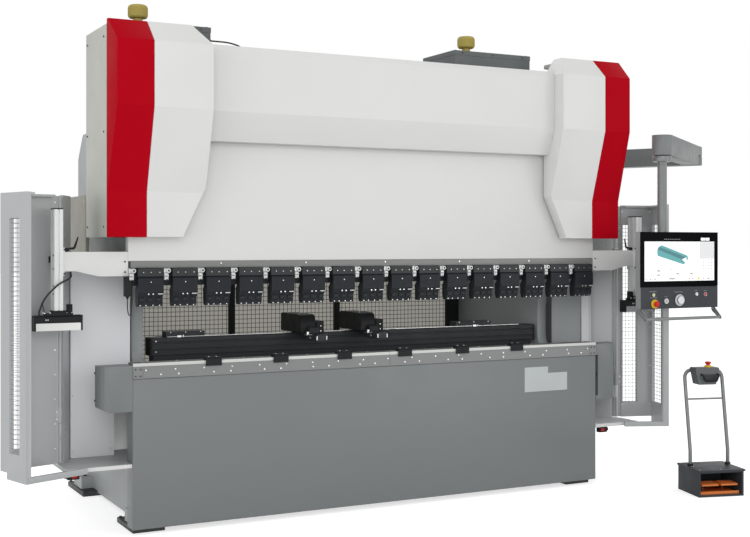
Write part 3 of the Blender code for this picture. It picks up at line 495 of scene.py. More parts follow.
def mount(mesh: bpy.types.Mesh, name: str, finish: Finish, body: str, edge: float = 0.0,
          stands_for: Sequence[str] = (), angle: float = 30.0) -> bpy.types.Object:
    """Make a piece of a mesh that is in the model's frame.

    Args:
        mesh: The mesh.
        name: The piece's name.
        finish: Its finish.
        body: The body that it rides on.
        edge: How far its edges are rounded, or 0.
        stands_for: The nodes that it replaces.
        angle: The smallest fold in degrees that is an edge.

    Returns:
        The piece.
    """
    obj = add_object(name, mesh)
    mesh.materials.clear()
    mesh.materials.append(finish.material())
    mesh.shade_smooth()
    if edge:
        bevel = obj.modifiers.new("rounded_edge", "BEVEL")
        bevel.width = edge
        bevel.segments = 2
        bevel.limit_method = "ANGLE"
        bevel.angle_limit = math.radians(angle)
        bevel.harden_normals = True
        bevel.use_clamp_overlap = True
    else:
        mesh.set_sharp_from_angle(angle=math.radians(angle))
    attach(obj, body)
    if stands_for:
        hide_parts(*stands_for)
    LOG.info("%s rides on %s", name, body)
    return obj


def stretch(value: float, stops: Sequence[Plan]) -> float:
    """Move a value along with the stops around it.

    Args:
        value: The value.
        stops: Pairs of an old and a new value, in rising order.

    Returns:
        The moved value.
    """
    for (old, new), (next_old, next_new) in zip(stops, stops[1:]):
        if old <= value <= next_old:
            return new + (value - old) * (next_new - new) / (next_old - old)
    old, new = stops[0] if value < stops[0][0] else stops[-1]
    return value + new - old


def dress(node: str, finish: Finish, edge: float = 0.002, angle: float = 30.0,
          moved: Callable[[Vector], Vector] | None = None) -> bpy.types.Object:
    """Replace a node by its own shape with rounded edges and a finish.

    Args:
        node: The node's name.
        finish: Its finish.
        edge: How far its edges are rounded.
        angle: The smallest fold in degrees that is an edge.
        moved: Where a corner of the shape goes, in the bed's frame.

    Returns:
        The piece.
    """
    shape = bmesh.new()
    shape.from_mesh(NODES[node].data)
    bmesh.ops.remove_doubles(shape, verts=shape.verts, dist=WELD)
    if moved:
        back = SHIFT.inverted()
        for vert in shape.verts:
            vert.co = SHIFT @ moved(back @ vert.co)
    bmesh.ops.dissolve_limit(shape, angle_limit=FLAT_FOLD, verts=shape.verts, edges=shape.edges)
    mesh = bpy.data.meshes.new(node + "_dressed")
    shape.to_mesh(mesh)
    shape.free()
    return mount(mesh, node + "_dressed", finish, NODES[node]["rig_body"], edge, (node,), angle)


def repaint(obj: bpy.types.Object, finish: Finish, chosen: Callable[[Vector], bool]) -> None:
    """Give some faces of a piece a second finish.

    Args:
        obj: The piece.
        finish: The second finish.
        chosen: Says whether a face is meant, from its middle in the bed's frame.
    """
    obj.data.materials.append(finish.material())
    index = len(obj.data.materials) - 1
    back = SHIFT.inverted()
    for face in obj.data.polygons:
        if chosen(back @ face.center):
            face.material_index = index


class GeometryTree:
    """A Geometry Nodes tree with named inputs that ends in one material."""

    def __init__(self, name: str, inputs: dict[str, str]) -> None:
        """Start the tree.

        Args:
            name: The tree's name.
            inputs: The kind of socket of each named input.
        """
        self.group = bpy.data.node_groups.new(name, "GeometryNodeTree")
        face = self.group.interface
        face.new_socket("Geometry", in_out="INPUT", socket_type="NodeSocketGeometry")
        for key, kind in inputs.items():
            face.new_socket(key, in_out="INPUT", socket_type=kind)
        face.new_socket("Geometry", in_out="OUTPUT", socket_type="NodeSocketGeometry")
        self.given = self.group.nodes.new("NodeGroupInput").outputs

    def add(self, kind: str, wires: dict[str | int, object], **settings: object) -> bpy.types.NodeOutputs:
        """Add a node.

        Args:
            kind: The node's type.
            wires: For each input, a socket to link it to or its value.
            settings: The node's own settings.

        Returns:
            The node's outputs.
        """
        node = self.group.nodes.new(kind)
        for key, value in settings.items():
            setattr(node, key, value)
        for key, value in wires.items():
            if isinstance(value, bpy.types.NodeSocket):
                self.group.links.new(value, node.inputs[key])
            else:
                node.inputs[key].default_value = value
        return node.outputs

    def finish(self, geometry: bpy.types.NodeSocket) -> None:
        """End the tree in real geometry with the Finish input's material.

        Args:
            geometry: What the tree has made.
        """
        solid = self.add("GeometryNodeRealizeInstances", {"Geometry": geometry})
        painted = self.add("GeometryNodeSetMaterial",
                           {"Geometry": solid[0], "Material": self.given["Finish"]})
        result = self.group.nodes.new("NodeGroupOutput")
        self.group.links.new(painted[0], result.inputs["Geometry"])

    def run(self, base: bpy.types.Mesh, values: dict[str, object], name: str) -> bpy.types.Mesh:
        """Run the tree on a mesh and return the plain result.

        Args:
            base: The mesh that the tree starts from.
            values: The value of each named input.
            name: The result's name.

        Returns:
            The result as a plain mesh.
        """
        guide = add_object("guide", base)
        modifier = guide.modifiers.new("tree", "NODES")
        modifier.node_group = self.group
        for item in self.group.interface.items_tree:
            if item.in_out == "INPUT" and item.name in values:
                modifier[item.identifier] = values[item.name]
        bpy.context.view_layer.update()
        mesh = bpy.data.meshes.new_from_object(guide.evaluated_get(bpy.context.evaluated_depsgraph_get()))
        bpy.data.objects.remove(guide, do_unlink=True)
        mesh.name = name
        return mesh


def _setting_out() -> GeometryTree:
    """Build the tree that repeats one piece at points, each facing its own way.

    Returns:
        The tree.
    """
    tree = GeometryTree("set_out", {"Piece": "NodeSocketObject", "Twist": "NodeSocketFloat",
                                    "Seed": "NodeSocketInt", "Finish": "NodeSocketMaterial"})
    given = tree.given
    facing = tree.add("GeometryNodeInputNamedAttribute", {"Name": "facing"}, data_type="FLOAT_VECTOR")
    size = tree.add("GeometryNodeInputNamedAttribute", {"Name": "size"}, data_type="FLOAT")
    align = tree.add("FunctionNodeAlignRotationToVector", {"Vector": facing["Attribute"]}, axis="Z")
    twist = tree.add("FunctionNodeRandomValue", {"Seed": given["Seed"]}, data_type="FLOAT")
    turn = tree.add("ShaderNodeMath", {0: next(o for o in twist if o.enabled), 1: given["Twist"]},
                    operation="MULTIPLY")
    spin = tree.add("FunctionNodeAxisAngleToRotation", {"Axis": (0.0, 0.0, 1.0), "Angle": turn[0]})
    both = tree.add("FunctionNodeRotateRotation", {0: align[0], 1: spin[0]}, rotation_space="LOCAL")
    shape = tree.add("GeometryNodeObjectInfo", {"Object": given["Piece"]})
    placed = tree.add("GeometryNodeInstanceOnPoints", {
        "Points": given["Geometry"], "Instance": shape["Geometry"], "Rotation": both[0],
        "Scale": size["Attribute"]})
    tree.finish(placed[0])
    return tree


def _weaving() -> GeometryTree:
    """Build the tree that lays upright and level wires over a rectangle in X and Z.

    Returns:
        The tree.
    """
    tree = GeometryTree("wire_mesh", {
        "Width": "NodeSocketFloat", "Height": "NodeSocketFloat", "Columns": "NodeSocketInt",
        "Rows": "NodeSocketInt", "Radius": "NodeSocketFloat", "Sides": "NodeSocketInt",
        "Finish": "NodeSocketMaterial"})
    given = tree.given
    ring = tree.add("GeometryNodeCurvePrimitiveCircle",
                    {"Resolution": given["Sides"], "Radius": given["Radius"]})
    layers = []
    for count, reach, step, upright in (("Columns", "Height", "Width", True),
                                        ("Rows", "Width", "Height", False)):
        far = tree.add("ShaderNodeCombineXYZ", {"Z" if upright else "X": given[reach]})
        line = tree.add("GeometryNodeCurvePrimitiveLine", {"End": far[0]})
        wire = tree.add("GeometryNodeCurveToMesh",
                        {"Curve": line[0], "Profile Curve": ring[0], "Fill Caps": True})
        pitch = tree.add("ShaderNodeMath", {0: given[step], 1: given[count]}, operation="DIVIDE")
        gap = tree.add("ShaderNodeCombineXYZ", {"X" if upright else "Z": pitch[0]})
        lines = tree.add("ShaderNodeMath", {0: given[count], 1: 1.0}, operation="ADD")
        points = tree.add("GeometryNodeMeshLine", {"Count": lines[0], "Offset": gap[0]})
        layers.append(tree.add("GeometryNodeInstanceOnPoints",
                               {"Points": points[0], "Instance": wire[0]})[0])
    joined = tree.group.nodes.new("GeometryNodeJoinGeometry")
    for layer in layers:
        tree.group.links.new(layer, joined.inputs[0])
    tree.finish(joined.outputs[0])
    return tree


SET_OUT = _setting_out()
WEAVE = _weaving()


@dataclass(frozen=True)
class Spot:
    """Where one repeated piece stands.

    Attributes:
        place: Its place in the bed's frame.
        facing: The way that its own Z points.
        size: Its scale.
    """

    place: Place
    facing: Place = UP
    size: float = 1.0


def repeat(blank: Blank, spots: Sequence[Spot], name: str, finish: Finish, body: str, edge: float = 0.0,
           twist: float = 0.0, stands_for: Sequence[str] = ()) -> bpy.types.Object:
    """Repeat a blank at spots and mount the result as one piece.

    Args:
        blank: The piece, drawn about its own origin.
        spots: Where it is repeated.
        name: The name of the result.
        finish: Its finish.
        body: The body that it rides on.
        edge: How far its edges are rounded.
        twist: The widest random turn about its own Z.
        stands_for: The nodes that it replaces.

    Returns:
        The piece.
    """
    sample = add_object("sample", blank.mesh("sample", Matrix()))
    points = bpy.data.meshes.new("points")
    points.from_pydata([SHIFT @ Vector(spot.place) for spot in spots], [], [])
    facing = points.attributes.new("facing", "FLOAT_VECTOR", "POINT")
    facing.data.foreach_set("vector", [part for spot in spots for part in spot.facing])
    size = points.attributes.new("size", "FLOAT", "POINT")
    size.data.foreach_set("value", [spot.size for spot in spots])
    mesh = SET_OUT.run(points, {"Piece": sample, "Twist": twist, "Seed": TWIST_SEED,
                                "Finish": finish.material()}, name)
    bpy.data.objects.remove(sample, do_unlink=True)
    return mount(mesh, name, finish, body, edge, stands_for)


def screw_head() -> Blank:
    """Draw a screw's head of radius 1 on Z, with a round recess.

    Returns:
        The head.
    """
    profile = ((1.0, -0.3), (1.0, 0.62), (0.86, 0.78), (0.52, 0.78), (0.5, 0.25))
    blank = Blank()
    return blank.wall([[blank.shells.verts.new((x, y, height)) for x, y in circle(radius, 12, 0.5)]
                       for radius, height in profile])


@dataclass
class Screws:
    """All the screw heads of one finish on one body."""

    name: str
    body: str
    finish: Finish
    spots: list[Spot] = field(default_factory=list)

    def add(self, facing: Place, radius: float, places: Iterable[Place]) -> None:
        """Add heads that face one way."""
        self.spots += [Spot(place, facing, radius) for place in places]

    def build(self) -> bpy.types.Object:
        """Build the heads as one piece."""
        return repeat(screw_head(), self.spots, self.name, self.finish, self.body, twist=math.pi)


def smooth_route(places: Sequence[Place], count: int) -> list[Vector]:
    """Return evenly stepped points on a smooth curve through places.

    Args:
        places: The places that it goes through.
        count: The number of steps.

    Returns:
        The points.
    """
    line = [Vector(place) for place in places]
    line = [2 * line[0] - line[1], *line, 2 * line[-1] - line[-2]]
    spans = len(line) - 3
    route = []
    for step in range(count + 1):
        travel = spans * step / count
        span = min(int(travel), spans - 1)
        t = travel - span
        a, b, c, d = line[span:span + 4]
        ease = (2 * a - 5 * b + 4 * c - d) * t ** 2 + (3 * b - a - 3 * c + d) * t ** 3
        route.append((2 * b + (c - a) * t + ease) / 2)
    return route


def rounded(corners: Sequence[Place], radius: float, steps: int = 5) -> list[Vector]:
    """Return an open line through corners, with its inner corners rounded.

    Args:
        corners: The corners.
        radius: The radius of each rounded corner.
        steps: Steps in each corner.

    Returns:
        The points.
    """
    line = [Vector(corner) for corner in corners]
    route = [line[0]]
    for before, here, after in zip(line, line[1:], line[2:]):
        back, ahead = (before - here).normalized(), (after - here).normalized()
        half = back.angle(ahead) / 2
        centre = here + (back + ahead).normalized() * radius / math.sin(half)
        start = here + back * radius / math.tan(half) - centre
        end = here + ahead * radius / math.tan(half) - centre
        sweep = start.angle(end)
        for step in range(steps + 1):
            part = step / steps
            mix = (start * math.sin((1 - part) * sweep) + end * math.sin(part * sweep)) / math.sin(sweep)
            route.append(centre + mix)
    return [*route, line[-1]]


def cable(name: str, route: Sequence[Vector], diameter: float, body: str,
          stands_for: Sequence[str] = ()) -> bpy.types.Object:
    """Args:
        name: The cable's name.
        route: Its line in the bed's frame.
        diameter: Its diameter.
        body: The body that it rides on.
        stands_for: The nodes that it replaces.

    Returns:
        The cable.
    """
    line = [SHIFT @ point for point in route]
    curve = bpy.data.curves.new(name, "CURVE")
    curve.dimensions = "3D"
    curve.bevel_depth = diameter / 2
    curve.bevel_resolution = 3
    curve.use_fill_caps = True
    spline = curve.splines.new("POLY")
    spline.points.add(len(line) - 1)
    for point, place in zip(spline.points, line):
        point.co = (*place, 1.0)
    curve.materials.append(RUBBER.material())
    obj = add_object(name, curve)
    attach(obj, body)
    if stands_for:
        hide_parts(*stands_for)
    return obj


@dataclass
class Bed:
    """The bed plate, its table rail, die strip, end covers, side frames and cross members."""

    half: float = 1.53
    rail: Plan = (0.8323, 0.897)
    end_piece: float = 1.4765
    middle_joint: float = 0.015
    joint: float = 0.0008
    strip_top: float = 0.915
    clamp_x: Sequence[float] = (-1.08, -0.682, -0.283, 0.115, 0.514, 0.912)
    clamp_half: float = 0.0445
    foot_top: float = 0.031
    low_screws: Plan = (-1.378, -1.279)
    low_pitch: float = 0.2985
    high_screw: float = -1.4596
    high_pitch: float = 0.1622
    cover_depths: Sequence[Plan] = ((0.0, 0.0), (0.08, 0.08), (0.29, 0.098), (0.3, 0.108))

    def build(self) -> None:
        """Build and dress the whole bed."""
        dress("bed_plate", BED, 0.003)
        for side, sign in SIDES:
            # The frames take the lightened grey, which is painted light; their feet take the black.
            frame_piece = dress(side + "_side_frame", FRAME, 0.004)
            repaint(frame_piece, FOOT, lambda middle: middle.z < self.foot_top)
            dress(side + "_bed_cover", BED, 0.003, 12.0, self._shallow)
        for node in ("lower_tie", "oil_tank", "top_beam"):
            dress(node, BED, 0.004)
        self._table()
        self._fasteners()
        self._tank_fittings()
        plate = ((0.974, 0.622), (1.3005, 0.622), (1.3005, 0.735), (1.152, 0.735), (1.152, 0.776),
                 (0.974, 0.776))
        Blank().prism(plate, "XZ", -0.0012, 0.001).piece("bare_chart_plate", CHART, "machine", 0.0004)

    def _shallow(self, place: Vector) -> Vector:
        """Return where a corner of an end cover goes: the covers are as deep as the photograph's."""
        return Vector((place.x, stretch(place.y, self.cover_depths), place.z))

    def _table(self) -> None:
        """Build the table rail in four lengths, the slotted die strip and its clamps."""
        joints = (-self.half, -self.end_piece, self.middle_joint, self.end_piece, self.half)
        rail = Blank()
        for start, end in zip(joints, joints[1:]):
            rail.box((start + self.joint / 2, -0.003, self.rail[0]),
                     (end - self.joint / 2, 0.1, self.rail[1]))
        rail.piece("table_rail_lengths", RAIL, "machine", 0.0015, ("table_rail",))
        low, top = self.rail[1] + 0.0003, self.strip_top
        outline = ((0, low), (0.09, low), (0.09, top), (0.051, top), (0.051, top - 0.01),
                   (0.039, top - 0.01), (0.039, top), (0, top))
        strip = Blank()
        strip.prism(outline, "YZ", -self.half, self.middle_joint - self.joint)
        strip.prism(outline, "YZ", self.middle_joint, self.half)
        ground = strip.piece("die_strip_ground", DIE, "machine", 0.0008, ("die_strip",))
        # Every face but the front takes the dark finish: painted shade under the ram.
        repaint(ground, DIE_TOP_PAINTED_SHADE, lambda middle: middle.y > 0.001)
        lip = -0.0034
        block = ((-0.012, 0.886), (-0.0105, 0.885), (lip, 0.885), (lip, 0.9152), (0.034, 0.9152),
                 (0.034, 0.926), (0.028, 0.932), (0.004, 0.932), (-0.004, 0.929), (-0.012, 0.921))
        clamp = Blank()
        clamp.prism(block, "YZ", -self.clamp_half, self.clamp_half)
        clamp.prism(((-0.0128, 0.893), (-0.0112, 0.893), (-0.0112, 0.914), (-0.0128, 0.914)), "YZ", -0.02,
                    0.02)
        repeat(clamp, [Spot((x, 0, 0)) for x in self.clamp_x], "die_clamps", CLAMP, "machine", 0.0012)

    def _fasteners(self) -> None:
        """Add the screws of the rail, covers and feet, and the right cover's latch."""
        bright = Screws("bed_screws_bright", "machine", BRIGHT)
        low = [start + self.low_pitch * index for index in range(10) for start in self.low_screws]
        high = [self.high_screw + self.high_pitch * index for index in range(19)]
        bright.add(FRONT, 0.0052, [(x, -0.003, 0.852) for x in low])
        bright.add(FRONT, 0.0048, [(x, -0.003, 0.877) for x in high if abs(abs(x) - self.end_piece) > 0.01])
        bright.add(UP, 0.004, [(x + step, 0.016, 0.9318) for x in self.clamp_x for step in (-0.022, 0.022)])
        bright.add(UP, 0.0035, [(-1.46 + 0.195 * index, 0.072, self.strip_top) for index in range(16)])
        bright.build()
        dark = Screws("bed_screws_dark", "machine", DARK_BOLT)
        ends = [(sign * (self.half - 0.014 - step), -0.003, z) for _, sign in SIDES for step in (0, 0.026)
                for z in (0.846, 0.883)]
        dark.add(FRONT, 0.0042, ends)
        for side, sign in SIDES:
            low_edge = {"left": 0.7194, "right": 0.64}[side]
            dark.add((sign, 0, 0), 0.006, [(sign * 1.707, 0.093, z) for z in (0.8655, low_edge)])
            dark.add(UP, 0.012, [(sign * 1.465, y, 0.1) for y in (0.185, 0.245, 1.275, 1.355)])
            dark.add(UP, 0.009, [(sign * 1.5, y, 0.03) for y in (0.075, 0.345, 1.14, 1.49)])
        dark.build()
        latch = Blank()
        latch.box((1.531, 0.012, 0.69), (1.544, 0.06, 0.728))
        latch.rod((1.5375, 0.006, 0.709), (1.5375, 0.014, 0.709), 0.006)
        latch.piece("cover_latch", PLASTIC, "machine", 0.002)

    def _tank_fittings(self) -> None:
        """Add the tank's filler cap, level glass, pipe unions and bolts at the back."""
        fittings = Blank()
        cap = ((0, 0.042), (0.028, 0.042), (0.034, 0.036), (0.034, 0.012), (0.024, 0.01), (0.024, -0.004),
               (0, -0.004))
        fittings.turned(cap, (0.42, 0.95, 2.2))
        fittings.box((-0.52, 1.098, 1.86), (-0.48, 1.108, 2.06))
        fittings.piece("tank_fittings", PLASTIC, "machine", 0.0015)
        rims = Blank()
        for x in (-0.8, 0.2, 0.9):
            rims.turned(((0, 0.026), (0.016, 0.026), (0.02, 0.02), (0.02, 0.004), (0.028, 0.004),
                         (0.028, -0.003), (0, -0.003)), (x, 0.76, 2.2))
        rims.piece("tank_unions", BRIGHT, "machine", 0.001)
        bolts = Screws("tank_screws", "machine", DARK_BOLT)
        bolts.add(BACK, 0.007, [(-1.25 + 0.25 * index, 1.1, z) for index in range(11)
                                for z in (1.785, 2.165)])
        bolts.build()


@dataclass
class Housing:
    """The faceted covers over the ram and the valve boxes on top."""

    outer: float = 1.68
    box_foot: float = 2.6003
    cap_y: float = 0.22
    rib_circle: float = 0.0532
    rib_count: int = 30
    cable_y: float = 0.2
    cable_z: float = 2.694

    def build(self) -> None:
        """Dress the covers and build the valve boxes and the left one's cable."""
        for side, sign in SIDES:
            dress(side + "_red_cover", RED, 0.004, 8.0)
            dress(side + "_white_cover", WHITE, 0.004, 8.0)
            dress(side + "_side_cover", PALE, 0.002)
        dress("centre_cover", WHITE, 0.003, 8.0)
        screws = Screws("housing_screws", "machine", DARK_BOLT)
        for side, sign in SIDES:
            screws.add((sign, 0, 0), 0.005, [(sign * self.outer, y, z) for y in (0.02, 0.36)
                                             for z in (1.64, 2.14, 2.64)])
        screws.build()
        self._valve_box("left", ((-1.6, 0.12), (-1.05, 0.36)), 2.755, -1.438)
        self._valve_cable(-1.05)
        self._valve_box("right", ((0.533, 0.12), (1.1, 0.51)), 2.75, 0.68)

    def _valve_box(self, side: str, plan: tuple[Plan, Plan], top: float, cap_x: float) -> None:
        """Build one valve box with its folded lid and its ribbed breather cap.

        Args:
            side: Its side.
            plan: Two opposite corners of its plan.
            top: Its height above the floor.
            cap_x: Where the breather stands along the bed.
        """
        (x0, y0), (x1, y1) = plan
        case = Blank()
        case.box((x0 + 0.002, y0 + 0.002, self.box_foot), (x1 - 0.002, y1 - 0.002, top - 0.006))
        case.box((x0, y0, top - 0.03), (x1, y1, top))
        case.piece(side + "_valve_case", CHARCOAL, "machine", 0.002, (side + "_valve_box",))
        profile = ((0, 0.105), (0.044, 0.105), (0.0515, 0.099), (0.053, 0.092), (0.053, 0.042),
                   (0.047, 0.034), (0.026, 0.03), (0.026, -0.004), (0, -0.004))
        cap = Blank().turned(profile, (cap_x, self.cap_y, top), steps=36)
        cap.piece(side + "_breather_cap", BREATHER, "machine", 0.0008)
        rib = Blank().box((-0.0011, -0.002, 0.046), (0.0011, 0.0018, 0.09))
        ribs = [Spot((cap_x + x, self.cap_y + y, top)) for x, y in circle(self.rib_circle, self.rib_count)]
        repeat(rib, ribs, side + "_breather_ribs", BREATHER, "machine")
        screws = Screws(side + "_valve_screws", "machine", DARK_BOLT)
        screws.add(UP, 0.0055, [(x, y, top) for x in (x0 + 0.02, x1 - 0.02)
                                for y in (y0 + 0.02, y1 - 0.02)])
        screws.add(FRONT, 0.0045, [(x0 + 0.06 + (x1 - x0 - 0.12) * index / 2, y0, top - 0.015)
                                   for index in range(3)])
        screws.build()

    def _valve_cable(self, wall: float) -> None:
        """Lead the cable out of the left valve box and down behind the centre cover.

        Args:
            wall: Where the box's right wall is along the bed.
        """
        gland = Blank()
        y, z = self.cable_y, self.cable_z
        gland.rod((wall - 0.003, y, z), (wall + 0.009, y, z), 0.016, sides=6)
        gland.rod((wall + 0.009, y, z), (wall + 0.026, y, z), 0.013, 0.009)
        gland.piece("valve_cable_gland", PLASTIC, "machine", 0.001)
        start = wall + 0.024
        bends = ((0.0, y, z), (0.035, y, z), (0.11, 0.198, 2.691), (0.175, 0.195, 2.674),
                 (0.205, 0.193, 2.64), (0.21, 0.192, 2.6005))
        route = smooth_route([(start + x, y, z) for x, y, z in bends], 30)
        cable("valve_cable", route, 0.009, "machine")


@dataclass
class ToolRow:
    """The ram's plate and foot strip, the sixteen punch holders and the lever beside each."""

    pitch: float = 0.1918
    count: int = 16
    start: float = -1.495
    width: float = 0.14
    lever_start: float = -1.546
    band: Plan = (1.374, 1.4205)
    screw_rows: Sequence[tuple[float, float, float, Sequence[float]]] = (
        (0.0028, 0.026, 1.397, (0.22, 0.52, 0.86)), (0.0042, 0.0195, 1.281, (0.4, 0.58)),
        (0.0032, 0.018, 1.345, (0.5,)), (0.0034, 0.0415, 1.2195, (0.12, 0.34, 0.62, 0.88)))

    def build(self) -> None:
        """Build the row from its strip down to the tool seats."""
        dress("ram_plate", WHITE, 0.002)
        dress("ram_strip", STRIP, 0.0015)
        self._holders()
        self._levers()
        screws = Screws("ram_screws", "ram", BRIGHT)
        screws.add(FRONT, 0.0048, [(-1.0215 + 0.5135 * index, 0.04, 1.4445) for index in range(5)])
        for radius, y, z, shares in self.screw_rows:
            screws.add(FRONT, radius, [(spot.place[0] + self.width * share, y, z)
                                       for spot in self._row(self.start) for share in shares])
        screws.build()

    def _row(self, start: float) -> list[Spot]:
        """Return where each piece of a row stands, from its first one's left edge."""
        return [Spot((start + self.pitch * index, 0, 0)) for index in range(self.count)]

    def _holders(self) -> None:
        """Build the holders' dark bodies, their upper bands and their wedge strips."""
        wide = self.width
        rows = self._row(self.start)
        end = rows[-1].place[0] + wide - 0.01
        spine = Blank().box((self.lever_start + 0.024, 0.0575, 1.325), (end, 0.096, 1.419))
        spine.piece("holder_spine", BLACK, "ram", 0.001, ("punch_holders",))
        body = Blank()
        body.prism(((0.06, 1.374), (0.03, 1.374), (0.018, 1.3655), (0.018, 1.29), (0.034, 1.264),
                    (0.062, 1.264), (0.088, 1.296), (0.06, 1.33)), "YZ", 0.0, wide)
        body.prism(((0.034, 1.2645), (0.034, 1.235), (0.044, 1.2132), (0.078, 1.2132), (0.087, 1.24),
                    (0.087, 1.29), (0.06, 1.29)), "YZ", 0.002, wide - 0.002)
        for left in (0.006, 0.054, 0.102):
            body.prism(((0.036, 1.262), (0.0285, 1.26), (0.0285, 1.241), (0.036, 1.236)), "YZ", left,
                       left + 0.032)
        repeat(body, rows, "punch_holder_bodies", BLACK, "ram", 0.0012)
        low, top = self.band
        band = Blank().prism(((0.058, low + 0.0006), (0.026, low + 0.0006), (0.026, top - 0.003),
                              (0.029, top), (0.058, top)), "YZ", 0.0, wide)
        repeat(band, rows, "punch_holder_bands", BAND, "ram", 0.001)
        tip = Blank().prism(((0.044, 1.226), (0.0405, 1.226), (0.0422, 1.2135), (0.0475, 1.2131),
                             (0.0475, 1.226)),
                            "YZ", 0.004, wide - 0.004)
        repeat(tip, rows, "holder_safety_strips", BAND, "ram", 0.0006)
        latch = Blank()
        latch.rod((wide * 0.76, 0.015, 1.2815), (wide * 0.96, 0.015, 1.2815), 0.0036, 0.003, 10)
        latch.box((wide * 0.84, 0.015, 1.2785), (wide * 0.88, 0.02, 1.2845))
        repeat(latch, rows, "holder_safety_latches", LEVER, "ram", 0.0006)
        hole = Blank()
        for share in (0.16, 0.5, 0.83):
            hole.turned(((0, 0.0008), (0.003, 0.0008), (0.0046, 0.0), (0.0046, -0.004), (0, -0.004)),
                        (wide * share, 0.0285, 1.2505), FRONT, 12)
        repeat(hole, rows, "holder_plungers", BAND, "ram")

    def _levers(self) -> None:
        """Build the cast clamping levers, each with two lobes, a boss and a dark socket."""
        lever = Blank()
        plan = ((0.062, 1.419), (0.026, 1.419), (0.022, 1.4155), (0.022, 1.396), (0.026, 1.392),
                (0.02, 1.38), (0.026, 1.368), (0.026, 1.3565), (0.062, 1.3565))
        lever.prism(plan, "YZ", 0.002, 0.028)
        for height in (1.385, 1.3665):
            lever.rod((0.0015, 0.022, height), (0.0215, 0.022, height), 0.0095, sides=14)
        lever.turned(((0, 0.0), (0.0075, 0.0), (0.0075, -0.002), (0.0112, -0.002), (0.0125, -0.0035),
                      (0.0125, -0.018), (0, -0.018)), (0.0255, 0.0105, 1.406), FRONT, 20)
        lever.rod((0.006, 0.015, 1.3565), (0.006, 0.015, 1.37), 0.0045, 0.006, 12)
        spots = self._row(self.lever_start)
        repeat(lever, spots, "clamp_levers", LEVER, "ram", 0.0007)
        socket = Blank().rod((0.0255, 0.01, 1.406), (0.0255, 0.013, 1.406), 0.006, sides=6)
        repeat(socket, spots, "clamp_lever_sockets", PLASTIC, "ram")


